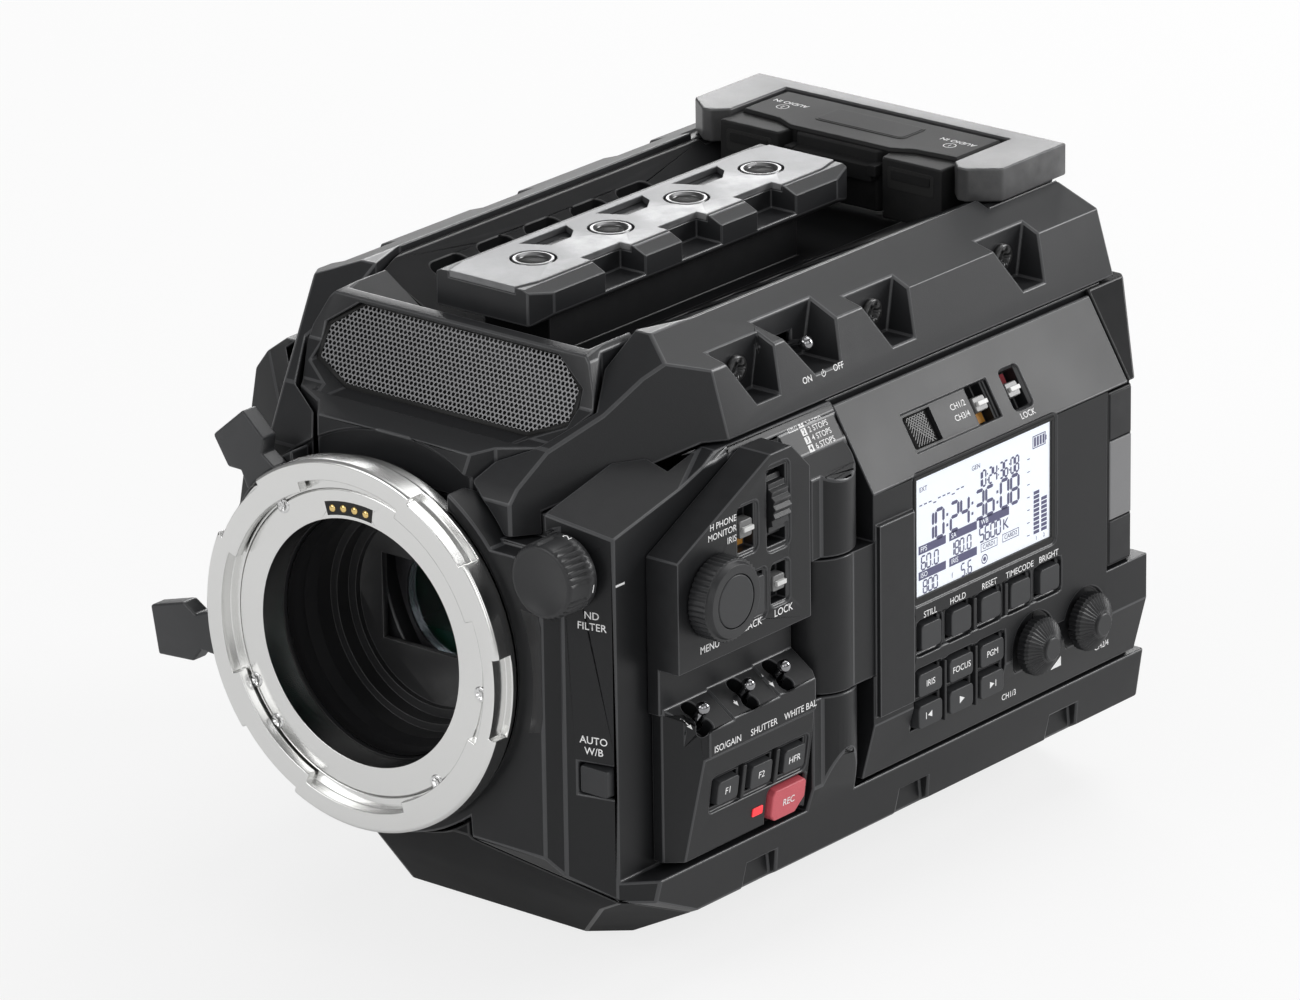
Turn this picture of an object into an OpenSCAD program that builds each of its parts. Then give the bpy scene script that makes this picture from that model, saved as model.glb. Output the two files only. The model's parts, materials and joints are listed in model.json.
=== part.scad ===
// Digital cinema camera with an interchangeable-lens lock ring, a four-step
// neutral density turret, a vented top, a fold-out side door and full controls.
// The lens looks along -Y, the operator's side is +X, and +Z is up.
// The origin is the mouth of the tripod socket, straight under the lens axis.

/* [Body] */
// Height of the lens axis above the foot
lens_axis_h = 71; // [69:0.5:73]
// Width over the flat sides
body_w = 140; // [138:1:146]
// Height of the shoulder rim beside the top tray
shoulder_h = 134; // [132:0.5:137]
// Height of the crease where the shoulder folds down
crease_h = 128.5; // [126:0.5:130]
// Height of the seam under the top cover
cover_seam_h = 114; // [111:0.5:116]
// Height where the sides start to lean in
bend_h = 95; // [91:1:99]
// Height where the sides start to lean in below
lower_bend_h = 43; // [40:1:46]
// Height of the seam above the base cover
base_seam_h = 29; // [26:1:32]
// Height of the base cover's lower corner
sole_h = 17.5; // [16.5:0.5:18.5]
// Height of the belly beside the foot plate
belly_h = 1; // [0.8:0.1:1.4]
// Half width of the opening between the shoulder rims
rim_half = 39.5; // [38.5:0.5:41]
// Half width at the shoulder crease
crease_half = 54; // [52:0.5:56]
// Half width at the seam under the top cover
cover_half = 58.5; // [57:0.5:60]
// Half width at the base seam
base_seam_half = 66.3; // [66:0.1:67]
// Half width at the base cover's lower corner
sole_half = 64.5; // [63.5:0.5:65]
// Half width of the belly
belly_half = 36; // [32:1:40]
// Distance from the socket forward to the nose face
nose_reach = 91; // [91:0.1:91.4]
// Distance from the socket back to the rear of the housing
housing_rear = 84; // [83.5:0.5:85]
// Distance from the socket back to the rear of the rear cover
rear_reach = 92; // [91:0.5:94]
// Distance from the socket back to the end of the battery rails
overall_rear = 108; // [106:0.5:110]
// Wall of the covers
wall = 3; // [2.4:0.1:3.6]
// Gap at the seams between covers
seam = 0.6; // [0.4:0.05:0.8]

/* [Lens mount] */
// Distance from the socket forward to the lens seat
flange_reach = 95; // [94.8:0.1:95.2]
// Bore of the lens throat
throat_bore = 54; // [53:0.5:55]
// Outer diameter of the lens seat, on which the lock ring turns
seat_d = 66.9; // [66:0.1:68]
// Outer diameter of the lock ring
ring_d = 81; // [79:0.5:82]
// Thickness of the lock ring along the axis
ring_t = 6.6; // [6.2:0.1:7]
// Depth of the throat tube behind the seat
throat_depth = 26; // [24:0.5:26.5]
// Distance from the seat back to the image plane
image_depth = 52; // [50:0.5:54]
// Running clearance of shafts and rings
run_gap = 0.05; // [0.03:0.01:0.08]

/* [Filters] */
// Distance from the lens axis to the turret shaft
turret_offset = 21; // [20.5:0.1:22]
// Clear radius of one filter
filter_r = 13.3; // [12.5:0.1:13.5]
// Module of the filter gears
gear_module = 0.75; // [0.7:0.01:0.78]
// Teeth on the knob gear and on the turret gear
small_teeth = 12; // [11:1:13]
// Teeth on the idler gear
idler_teeth = 35; // [33:1:36]
// Tilt of the line from the lens axis to the filter knob
knob_tilt = 26.7; // [24:0.5:29]
// Diameter of the filter knob
filter_knob_d = 16.6; // [15:0.2:18]

/* [Top] */
// Height of the rail's top plate above the shoulder rim
rail_rise = 5.8; // [5:0.2:7]
// Half width of the rail over its side edges
rail_half = 14.6; // [14:0.2:15.5]
// Front end of the rail, ahead of the socket
rail_front = 54; // [52:0.5:56]
// Length of the rail
rail_len = 107; // [104:0.5:109]
// Spacing of the threaded holes in the rail
hole_pitch = 25.4; // [24:0.1:26]
// Diameter of the threaded holes in the rail
rail_hole_d = 6.35; // [6:0.05:6.6]
// Number of vent slots on each side of the tray
slot_count = 5; // [4:1:6]
// Spacing of the vent slots
slot_pitch = 15.5; // [14.5:0.1:16]
// Half width of the audio block
audio_half = 42.7; // [41:0.2:44]

/* [Controls] */
// Distance of the control panel's face from the lens axis
panel_face = 68.6; // [67.8:0.1:69.4]
// Diameter of the menu dial
dial_d = 18; // [17:0.2:19]
// Travel of a push button
key_travel = 0.7; // [0.5:0.05:0.9]
// Height that a key stands above its panel
key_proud = 0.9; // [0.9:0.05:1.2]
// Clearance round a key in its well
key_gap = 0.3; // [0.25:0.05:0.4]
// Swing of a toggle to either side
toggle_swing = 12; // [8:1:14]
// Radius of the hinge barrels
hinge_r = 8.4; // [8:0.1:8.8]
// Distance of the hinge axis from the lens axis
hinge_x = 62; // [61.8:0.1:62.4]
// Distance of the hinge axis ahead of the socket
hinge_reach = 21; // [20.6:0.1:21.2]

/* [Hidden] */
$fn = 64;
cut = 1;
side_half = body_w / 2;
front_y = -nose_reach;
seat_y = -flange_reach;
rail_top_h = shoulder_h + rail_rise;
fit_gap = 0.3;

band_rear = 89;
neck_reach = 57;
crown_reach = 83;
neck_h = 128.3;
nose_top_h = 98;
nose_top_reach = 86.5;
boss_rear = 83.5;
far_nose_half = 36;
far_cheek_half = 43;
far_cheek_reach = 84;
far_flank_half = 54;
far_flank_reach = 68;
far_side_reach = 45;
corner_rear = 79.5;
corner_half = 65.5;
belly_corner = [35.5, -49.5, 0];
belly_corner_turn = -50;
belly_corner_lean = -60;
cover_corner = [33.1, -84, 108];
cover_corner_turn = -35;
cover_corner_lean = 14.3;
far_corner = [-58.5, -54, 114.4];
far_corner_turn = -125;
far_corner_lean = 30;
far_belly_corner = [22.3, -55.3, 0];
far_belly_turn = -57.6;
far_belly_lean = -33.7;
big = (overall_rear + nose_reach) * 2;
panel_t = 3;
pod_left_half = 44.7;
pod_left_reach = 88.1;
roof_corner = [60, -84.1, 104.3];
roof_turn = -38.9;
roof_lean = 70.3;
legend_low_h = 104;
legend_half = 64.5;
legend_front = 30.6;
pan_top_half = 24.5;
pan_top_h = 46;
pan_chin_half = 25.5;
pan_chin_h = 32;
pan_side_half = 60.5;
pan_side_h = 24;
pan_low_half = 61.2;
pan_wall_y = 86.2;
knob_pocket_rear = 87.3;
skid_in_half = 18;
foot_t = 5;
pan_floor_t = 5;
rear_taper_half = 57.5;
strip_rear = 79.3;
flange_front = 78.2;
flange_rear = 80;
flange_low_h = 95;
door_rear_low = 85;
bracket_low_h = 45;
bracket_high_h = 88;
bracket_proud = 1.2;
bracket_rear = 2;
// Extrusions of an outline along each axis
module along_x(x0, x1, points) {
    translate([x0, 0, 0]) rotate([90, 0, 90]) linear_extrude(x1 - x0) polygon(points);
}
module along_y(y0, y1, points) {
    translate([0, y1, 0]) rotate([90, 0, 0]) linear_extrude(y1 - y0) polygon(points);
}
module along_z(z0, z1, points) {
    translate([0, 0, z0]) linear_extrude(z1 - z0) polygon(points);
}
module span(low, high) {
    translate(low) cube(high - low);
}
module round_y(r, y0, y1, x = 0, z = 0) {
    translate([x, y0, z]) rotate([-90, 0, 0]) cylinder(h = y1 - y0, r = r);
}
module round_x(r, x0, x1, y = 0, z = 0) {
    translate([x0, y, z]) rotate([0, 90, 0]) cylinder(h = x1 - x0, r = r);
}
module round_z(r, z0, z1, x = 0, y = 0) {
    translate([x, y, z0]) cylinder(h = z1 - z0, r = r);
}
// A ring turned round the lens axis, from an outline of radius and place along Y
module turned_y(outline) {
    translate([0, 0, lens_axis_h]) rotate([-90, 0, 0]) rotate_extrude() polygon(outline);
}
function mirrored(points) = concat(points,
    [for (i = [len(points) - 1:-1:0]) [-points[i][0], points[i][1]]]);

// Outer form of the body, as three outlines that are cut from one block
body_front_outline = mirrored([[belly_half, belly_h], [sole_half, sole_h],
    [base_seam_half, base_seam_h], [side_half, lower_bend_h], [side_half, bend_h],
    [cover_half, cover_seam_h], [crease_half, crease_h], [rim_half, shoulder_h]]);
shoulder_reach = 47;
brow_reach = 65;
brow_h = 122;
cheek_reach = 76;
cheek_h = 116;
lip_reach = 85;
lip_h = 106;
chin_h = 33;
jaw_reach = 80;
jaw_h = 19.5;
heel_reach = 56.5;
base_rear = 94;
side_outline = [[front_y, chin_h], [-jaw_reach, jaw_h], [-heel_reach, 0], [base_rear, 0],
    [base_rear, shoulder_h], [-shoulder_reach, shoulder_h], [-neck_reach, neck_h], [-brow_reach, brow_h],
    [-cheek_reach, cheek_h], [-crown_reach, lip_h + seam * 5], [-lip_reach, lip_h],
    [-nose_top_reach, nose_top_h], [front_y, nose_top_h]];
nose_half = 46;
pod_step = 3.8;
pod_inner_half = 48.5;
pod_outer_half = 60;
pod_outer_reach = 84.5;
plan_outline = [[nose_half, front_y], [pod_inner_half, front_y + pod_step],
    [pod_outer_half, -pod_outer_reach], [side_half, -pod_outer_reach + side_half - pod_outer_half],
    [side_half, base_rear], [-side_half, base_rear], [-side_half, -far_side_reach],
    [-far_flank_half, -far_flank_reach], [-far_cheek_half, -far_cheek_reach], [-far_nose_half, front_y]];
module body_form() {
    intersection() {
        along_y(front_y, base_rear, body_front_outline);
        along_x(-side_half, side_half, side_outline);
        along_z(0, shoulder_h, plan_outline);
    }
}

// Filter turret train, on one line from the lens axis to the knob
knob_dir = [cos(knob_tilt), sin(knob_tilt)];
small_r = gear_module * small_teeth / 2;
idler_r = gear_module * idler_teeth / 2;
idler_offset = turret_offset + small_r + idler_r;
knob_offset = idler_offset + idler_r + small_r;
function on_line(d) = [d * knob_dir[0], lens_axis_h + d * knob_dir[1]];
turret_at = on_line(turret_offset);
idler_at = on_line(idler_offset);
knob_at = on_line(knob_offset);
filter_lip = 1;
turret_r = turret_offset + filter_r + filter_lip;
throat_end = seat_y + throat_depth;
gear_t = 3;
gear_y = throat_end + seam;
disc_t = 3.4;
disc_y = gear_y + gear_t + seam;
pocket_rear = disc_y + disc_t + seam * 2;
post_r = 1.5;
shaft_r = 2.5;
module spur(teeth, y0, y1, at, turn = 0) {
    pitch_r = gear_module * teeth / 2;
    root_r = pitch_r - gear_module * 1.2;
    tip_r = pitch_r + gear_module * 0.85;
    half_root = 90 / teeth * 1.2;
    half_tip = 90 / teeth * 0.35;
    translate([at[0], y1, at[1]]) rotate([90, 0, 0]) linear_extrude(y1 - y0)
        polygon([for (i = [0:teeth - 1]) for (k = [[root_r, -half_root], [tip_r, -half_tip],
            [tip_r, half_tip], [root_r, half_root]])
            let(a = knob_tilt + turn + i * 360 / teeth + k[1]) [k[0] * cos(a), k[0] * sin(a)]]);
}

// Tray, valley and the insert between the shoulders
insert_gap = 0.7;
insert_wall = 3.2;
tray_half = rim_half - insert_gap;
tray_rim_drop = 1.2;
tray_floor_h = 121.5;
tray_floor_half = 13;
tray_under_h = cover_seam_h + seam;
tray_rear = 88;
// Lower edge of the top cover: it rises from the nose to the straight seam
cover_nose_h = 99.5;
cover_nose_reach = 80.5;
cover_step_h = 104;
cover_step_reach = 79.7;
cover_flat_reach = 50;
cover_low = [[front_y, cover_nose_h], [-cover_nose_reach, cover_nose_h], [-cover_step_reach,
    cover_step_h],
    [-cover_flat_reach, cover_seam_h], [tray_rear, cover_seam_h]];
panel_ring_half = 20.5;
panel_neck_half = 25;
panel_neck_reach = 79.5;
panel_wing_half = 33;
panel_cheek_half = 39.7;
panel_waist_half = 35.4;
panel_waist_reach = 57;
function insert_outline(g) = mirrored([[panel_ring_half - g, front_y - cut],
    [panel_ring_half - g, -lip_reach + g], [panel_neck_half - g, -panel_neck_reach + g],
    [panel_wing_half - g, -cheek_reach + g], [panel_cheek_half - g, -brow_reach],
    [panel_waist_half - g, -panel_waist_reach], [panel_waist_half - g, -shoulder_reach],
    [rim_half - g, -shoulder_reach + (rim_half - panel_waist_half) * 3],
    [rim_half - g, rear_reach + cut]]);

// Recesses in the shoulders, the same on both sides
notch_pitch = 45.5;
notch_first = -32;
notch_floor_half = 49.5;
notch_floor_h = 118.5;
notch_shares = [[-0.62, 1], [0.5, 1], [0.36, 0], [-0.1, 0]];
notch_w = 16;
power_y = -12;
power_half = 46.5;
power_w = 18;
power_floor_h = 119.5;
power_pivot_h = 122.5;
power_reach = 8;
power_r = 1.3;
module shoulder_notch(y, half_in, floor_h, w) {
    high = crease_h + wall - floor_h;
    along_x(half_in, cover_half + cut, [for (p = notch_shares) [y + p[0] * w, floor_h + p[1] * high]]);
}

module top_cover() color("#37383b") {
    difference() {
        intersection() {
            along_y(-nose_reach, tray_rear, body_front_outline);
            along_x(-side_half, side_half, side_outline);
            along_x(-side_half, side_half, concat(cover_low, [[tray_rear, shoulder_h], [front_y,
                shoulder_h]]));
        }
        for (side = [0, 1]) mirror([side, 0, 0]) beyond(cover_corner, cover_corner_turn,
            cover_corner_lean);
        along_z(0, shoulder_h + cut, insert_outline(0));
        // Hollow underside
        difference() {
            along_y(-lip_reach + wall * 1.6, tray_rear + cut, mirrored([[cover_half - wall * 1.2,
                cover_seam_h - big / 10],
                [cover_half - wall * 1.2, cover_seam_h], [crease_half - wall * 1.3, crease_h - wall / 2],
                [rim_half - wall, shoulder_h - wall], [rim_half - wall, cover_seam_h - big / 10]]));
            along_x(-side_half, side_half, [[front_y, nose_top_h - cut * 3], [-lip_reach + wall * 1.6,
                nose_top_h - cut * 3],
                [-cheek_reach + wall, cheek_h - wall * 1.6], [-brow_reach + wall, brow_h - wall * 1.6],
                [-neck_reach + wall, neck_h - wall * 1.4], [-shoulder_reach + wall, shoulder_h - wall],
                [-shoulder_reach + wall, shoulder_h + cut], [front_y, shoulder_h + cut]]);
            for (side = [0, 1]) mirror([side, 0, 0]) beyond(cover_corner, cover_corner_turn,
                cover_corner_lean, -wall);
        }
        round_y(boss_r + seam, front_y - cut, -boss_rear + seam, 0, lens_axis_h);
        for (side = [0, 1]) mirror([side, 0, 0]) for (i = [0:2])
            shoulder_notch(notch_first + i * notch_pitch, notch_floor_half, notch_floor_h, notch_w);
        shoulder_notch(power_y, power_half, power_floor_h, power_w);
        // Seat of the audio block
        span([-audio_half - fit_gap, audio_front - fit_gap, audio_base_h - fit_gap],
            [audio_half + fit_gap, tray_rear + cut, shoulder_h + cut]);
    }
    // Floors of the notches, and the toggle's seat
    for (side = [0, 1]) mirror([side, 0, 0]) for (i = [0:2])
        notch_box(notch_first + i * notch_pitch, notch_floor_half, notch_floor_h, notch_w);
    difference() {
        notch_box(power_y, power_half, power_floor_h, power_w);
        span([power_half - wall - cut, power_y - power_r * 2, power_pivot_h - power_r * 2.5],
            [power_half + cut, power_y + power_r * 2, power_pivot_h + power_r * 2.5]);
    }
}
// A thin box that closes one notch on the inside
module notch_box(y, half_in, floor_h, w) {
    t = wall / 2;
    intersection() {
        difference() {
            span([half_in - t, y - w * 0.72, floor_h - t], [cover_half, y + w * 0.62, crease_h]);
            shoulder_notch(y, half_in, floor_h, w);
        }
        along_y(-brow_reach, tray_rear, mirrored([[cover_half - wall * 1.1, cover_seam_h],
            [crease_half - wall * 1.2, crease_h - wall / 2], [rim_half - wall, shoulder_h - wall]]));
    }
}

// Grille opening in the front insert
grille_low_half = 25;
grille_side_half = 35;
grille_top_half = 27;
grille_low_reach = 69.6;
grille_low_h = 114.7;
grille_mid_h = 122;
grille_top_reach = 60;
grille_top_h = 131;
grille_t = 1;
grille_lean = (grille_low_reach - grille_top_reach) / (grille_top_h - grille_low_h);
function grille_outline(g) = mirrored([[grille_low_half - g, grille_low_h + g],
    [grille_side_half - g, grille_low_h + (grille_mid_h - grille_low_h) * 0.55],
    [grille_side_half - g, grille_mid_h + (grille_top_h - grille_mid_h) * 0.4],
    [grille_top_half - g, grille_top_h - g]]);
module grille_plate(g, y_off, t) {
    intersection() {
        along_y(-nose_reach, 0, grille_outline(g));
        along_x(-side_half, side_half, [[-grille_low_reach + y_off, grille_low_h - cut],
            [-grille_top_reach + y_off, grille_top_h], [-grille_top_reach + y_off + t, grille_top_h],
            [-grille_low_reach + y_off + t, grille_low_h - cut]]);
    }
}
crown_h = 113.8;
module front_panel() color("#3a3b3e") difference() {
    intersection() {
        along_x(-side_half, side_half, [[-lip_reach, lip_h - wall], [-lip_reach, lip_h], [-crown_reach,
            crown_h],
            [-cheek_reach, cheek_h - seam], [-grille_low_reach - wall, grille_low_h + seam * 2],
                [-brow_reach, brow_h],
            [-grille_top_reach - wall / 2, grille_top_h + wall / 3], [-shoulder_reach, shoulder_h],
            [-shoulder_reach + insert_gap, shoulder_h], [-shoulder_reach + insert_gap, lip_h + wall],
            [-brow_reach, lip_h + wall], [-cheek_reach, lip_h]]);
        along_y(front_y, 0, mirrored([[panel_cheek_half, nose_top_h], [panel_cheek_half, brow_h],
            [panel_waist_half, grille_top_h], [panel_waist_half - wall, shoulder_h]]));
        along_z(0, shoulder_h, insert_outline(insert_gap));
    }
    round_y(boss_r + seam, front_y - cut, -boss_rear + seam, 0, lens_axis_h);
    // The valley begins behind the grille
    intersection() {
        along_x(-side_half, side_half, [[-grille_top_reach + seam, shoulder_h - seam],
            [-shoulder_reach - wall, tray_floor_h],
            [0, tray_floor_h], [0, big], [-grille_top_reach + seam, big]]);
        along_y(-grille_top_reach, 0, mirrored([[panel_waist_half - wall * 0.6, big],
            [panel_waist_half - wall * 0.6, shoulder_h - wall / 3],
            [tray_floor_half + wall, tray_floor_h]]));
    }
    // Window for the mesh, with a ledge that it sits on
    along_y(-nose_reach, -shoulder_reach - wall * 3, grille_outline(wall / 2));
    grille_plate(0, -wall * 2 - cut, wall * 2 + cut + grille_t);
    // Room for the turret
    round_y(turret_r + cut, disc_y - cut, pocket_rear, turret_at[0], turret_at[1]);
    // Room behind the window and over the filters
    span([-panel_wing_half + wall, -grille_low_reach + wall, lip_h - wall], [panel_wing_half - wall,
        -shoulder_reach - wall, grille_mid_h - wall]);
}
mesh_pitch = 3.1;
mesh_hole_r = 1.05;
mesh_columns = 21;
mesh_rows = 6;
module front_grille() color("#1c1c1e") difference() {
    grille_plate(fit_gap / 2, 0, grille_t);
    for (row = [0:mesh_rows - 1]) for (i = [0:mesh_columns - 1]) {
        x = (i - (mesh_columns - 1) / 2 + (row % 2) / 2) * mesh_pitch;
        z = grille_low_h + mesh_pitch * (0.8 + row * 0.866);
        inside = abs(x) < grille_low_half + (row == 0 ? -mesh_pitch / 2 : row == 5 ? 0 : mesh_pitch * 2);
        if (inside) translate([x, -grille_low_reach - cut, z]) rotate([-90, 0, 0])
            cylinder(h = grille_low_reach - grille_top_reach + grille_t + cut * 2, r = mesh_hole_r,
                $fn = 6);
    }
}

slot_first = -34;
slot_len = 11;
slot_in_half = 19;
slot_out_half = 33;
slot_corner = 2.5;
pedestal_half = 9;
pedestal_front = 46;
fan_y = 22;
module top_tray() color("#2b2c2e") difference() {
    union() {
        intersection() {
            along_y(-shoulder_reach + insert_gap * 2, tray_rear, concat(
                mirrored([[tray_half, tray_under_h], [tray_half, shoulder_h - tray_rim_drop],
                    [tray_half - wall / 2, shoulder_h - tray_rim_drop], [tray_floor_half,
                        tray_floor_h]])));
            along_z(0, shoulder_h, insert_outline(insert_gap));
        }
        span([-pedestal_half, -pedestal_front + wall, tray_floor_h - wall], [pedestal_half,
            pedestal_rear, rail_under_h]);
    }
    // Hollow underside
    along_y(-shoulder_reach + insert_gap * 2 + wall, tray_rear - wall, concat(
        mirrored([[tray_half - wall, tray_under_h - cut], [tray_half - wall, shoulder_h - wall * 2.4],
            [tray_floor_half - wall / 2, tray_floor_h - wall]])));
    for (side = [0, 1]) mirror([side, 0, 0]) for (i = [0:slot_count - 1])
        vent_slot(slot_first + i * slot_pitch);
    // Room for the audio block's base
    span([-tray_half - cut, audio_front - fit_gap, audio_base_h - seam], [tray_half + cut, rear_reach,
        shoulder_h]);
    // Hollow pedestal
    span([-pedestal_half + wall, -pedestal_front + wall * 2, tray_floor_h - wall * 2],
        [pedestal_half - wall, -pedestal_front + wall * 4, rail_under_h - wall]);
}
module vent_slot(y) {
    for (a = [slot_corner, slot_len - slot_corner]) for (x = [slot_in_half + slot_corner,
        slot_out_half - slot_corner])
        round_z(slot_corner, cover_seam_h, shoulder_h + cut, x, y + a);
    span([slot_in_half, y + slot_corner, cover_seam_h], [slot_out_half, y + slot_len - slot_corner,
        shoulder_h + cut]);
    span([slot_in_half + slot_corner, y, cover_seam_h], [slot_out_half - slot_corner, y + slot_len,
        shoulder_h + cut]);
}

// Housing: one casting with the nose, the pod for the filter knob and the far side
control_wall_half = 60;
door_back_half = 57.6;
door_front = 11.6;
cavity_front = pocket_rear;
floor_t = 3;
roof_gap = seam;
housing_top_h = cover_seam_h - roof_gap;
column_half_y = 9;
balance_x = 55.5;
balance_h = 51;
balance_w = 7.6;
balance_tall = 6.4;
module main_housing() color("#2f3033") difference() {
    union() {
        difference() {
            intersection() {
                body_form();
                // Seam under the top cover, and the rear ends
                along_x(-side_half, side_half, concat([[front_y, 0], [band_rear, 0], [band_rear,
                    base_seam_h],
                    [housing_rear, base_seam_h]], [for (i = [len(cover_low) - 1:-1:0])
                    [min(cover_low[i][0], housing_rear), cover_low[i][1] - seam]]));
            }
            lower_corners();
            // Rear corners above the lower band
            for (side = [0, 1]) mirror([side, 0, 0]) along_z(base_seam_h, shoulder_h, [[side_half + cut,
                corner_rear],
                [side_half, corner_rear], [corner_half, housing_rear], [corner_half, band_rear + cut],
                    [side_half + cut, band_rear + cut]]);
            // The pan fills the middle of the underside
            difference() {
                along_y(front_y - cut, base_rear + cut, pan_outline(seam));
                along_x(-side_half, side_half, [[-pan_wall_y + seam, big], [-pan_wall_y + seam,
                    base_seam_h + seam * 6],
                    [-pan_wall_y + wall * 2.2, base_seam_h + seam], [housing_rear, base_seam_h + seam],
                        [housing_rear, big]]);
            }
            // The far side's roof
            beyond(far_corner, far_corner_turn, far_corner_lean);
            // Operator's side stands back behind the controls and the door
            along_z(base_seam_h, shoulder_h, [[control_wall_half, front_y], [side_half + cut, front_y],
                [side_half + cut, band_rear + cut], [door_back_half, band_rear + cut],
                [door_back_half, -door_front], [control_wall_half, -door_front]]);
        }
        // Round boss behind the ring
        round_y(boss_r, front_y, -boss_rear, 0, lens_axis_h);
        // Pod for the filter knob, outside the top cover
        difference() {
            along_z(nose_top_h - cut * 2, cover_seam_h, [[pod_left_half, -pod_left_reach],
                [pod_inner_half, front_y + pod_step],
                [pod_outer_half, -pod_outer_reach], [pod_outer_half, -shoulder_reach], [pod_left_half,
                    -shoulder_reach]]);
            beyond(roof_corner, roof_turn, roof_lean);
            difference() {
                span([0, -big / 2, 0], [big, 0, big]);
                beyond(cover_corner, cover_corner_turn, cover_corner_lean, seam);
            }
        }
        // Facet over the hinge
        along_y(-legend_front, -door_front - seam, [[door_back_half, legend_low_h], [legend_half,
            legend_low_h],
            [cover_half + seam / 2, housing_top_h], [door_back_half, housing_top_h]]);
        // Fixed hinge barrels, above and below the door's barrel
        hinge_column(base_seam_h - seam, barrel_low - barrel_gap);
        hinge_column(barrel_high + barrel_gap, column_top_h);
        // Inner wall behind the door's barrel
        intersection() {
            round_z(hinge_r + wall, barrel_low - wall, barrel_high + wall, hinge_x, -hinge_reach);
            span([0, -big / 2, 0], [control_wall_half, -door_front - fit_gap, big]);
        }
    }
    // Inner space behind the nose
    difference() {
        along_y(cavity_front, housing_rear - wall, [[-base_seam_half + wall,
            base_seam_h + seam + floor_t],
            [door_back_half - wall, base_seam_h + seam + floor_t], [door_back_half - wall, big],
                [-cover_half + wall, big],
            [-cover_half + wall, cover_seam_h], [-side_half + wall, bend_h - wall / 2],
                [-side_half + wall, lower_bend_h]]);
        round_z(hinge_r + wall, barrel_low - wall, barrel_high + wall, hinge_x, -hinge_reach);
        beyond(far_corner, far_corner_turn, far_corner_lean, -wall);
    }
    // Space under the front insert
    along_z(lip_h - wall - seam, shoulder_h, insert_outline(-insert_gap));
    round_y(throat_outer_r + fit_gap, front_y - cut, throat_end + seam * 2, 0, lens_axis_h);
    round_y(seat_plate_r + fit_gap, front_y - cut, front_y + seat_plate_t + fit_gap, 0, lens_axis_h);
    // Pockets for the turret and its gears
    round_y(turret_r + filter_lip, throat_end, cavity_front + cut, turret_at[0], turret_at[1]);
    difference() {
        round_y(idler_r + gear_module * 2, throat_end, cavity_front + cut, idler_at[0], idler_at[1]);
        round_y(post_r, throat_end - cut, gear_y + gear_t, idler_at[0], idler_at[1]);
    }
    round_y(small_r + gear_module * 2, throat_end, cavity_front + cut, knob_at[0], knob_at[1]);
    round_y(shaft_r + run_gap, front_y - cut, cavity_front, knob_at[0], knob_at[1]);
    // Room round the knob and beside the pod
    round_y(filter_knob_d / 2 + seam, front_y - cut, -knob_pocket_rear, knob_at[0], knob_at[1]);
    // Well of the white balance key
    key_well_y(balance_x, balance_h);
    // Slot of the gain wheel, room for the door's barrel, and the bore of the hinge pin
    span([door_back_half - wall - cut, wheel_y - wheel_w / 2 - seam, wheel_h - wheel_r - seam],
        [side_half, wheel_y + wheel_w / 2 + seam, wheel_h + wheel_r + seam]);
    round_z(hinge_r + seam, barrel_low - barrel_gap, barrel_high + barrel_gap, hinge_x, -hinge_reach);
    round_z(pin_r, base_seam_h + seam + wall, pin_top_h + fit_gap, hinge_x, -hinge_reach);
    // Scallops in the lower band, and the board under the floor
    for (side = [0, 1]) mirror([side, 0, 0]) for (y = base_scallops)
        along_x(scallop_half, side_half + cut, [[y - scallop_w / 2, 0], [y + scallop_w / 2, 0],
            [y + scallop_w * 0.32, scallop_h], [y - scallop_w * 0.32, scallop_h]]);
}
boss_r = 42.4;
barrel_low = 54.5;
barrel_high = 84.5;
barrel_gap = 0.4;
column_top_h = 107;
pin_r = 2;
pin_top_h = 101;
module hinge_column(z0, z1) {
    intersection() {
        union() {
            round_z(hinge_r, z0, z1, hinge_x, -hinge_reach);
            span([control_wall_half - wall * 2, -hinge_reach - column_half_y, z0],
                [hinge_x + hinge_r * 0.72, -hinge_reach, z1]);
            span([control_wall_half - wall * 2, -hinge_reach - hinge_r / 2, z0],
                [hinge_x, -hinge_reach + hinge_r, z1]);
        }
        along_y(-hinge_reach - column_half_y - cut, -hinge_reach + column_half_y + cut,
            [[control_wall_half - wall * 2, base_seam_h], [base_seam_half, base_seam_h],
            [side_half + cut, lower_bend_h], [side_half + cut, column_top_h - wall * 2],
            [hinge_x, column_top_h], [control_wall_half - wall * 2, column_top_h]]);
    }
}
module key_well_y(x, z) {
    span([x - balance_w / 2 - key_gap, front_y - cut, z - balance_tall / 2 - key_gap],
        [x + balance_w / 2 + key_gap, balance_floor_y, z + balance_tall / 2 + key_gap]);
}
balance_face_y = -86.6;
balance_deep = 4;
balance_floor_y = balance_face_y + balance_deep + key_travel + fit_gap;
module hinge_pin() color("silver") round_z(pin_r - run_gap, base_seam_h + seam + wall + fit_gap,
    pin_top_h, hinge_x, -hinge_reach);

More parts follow.
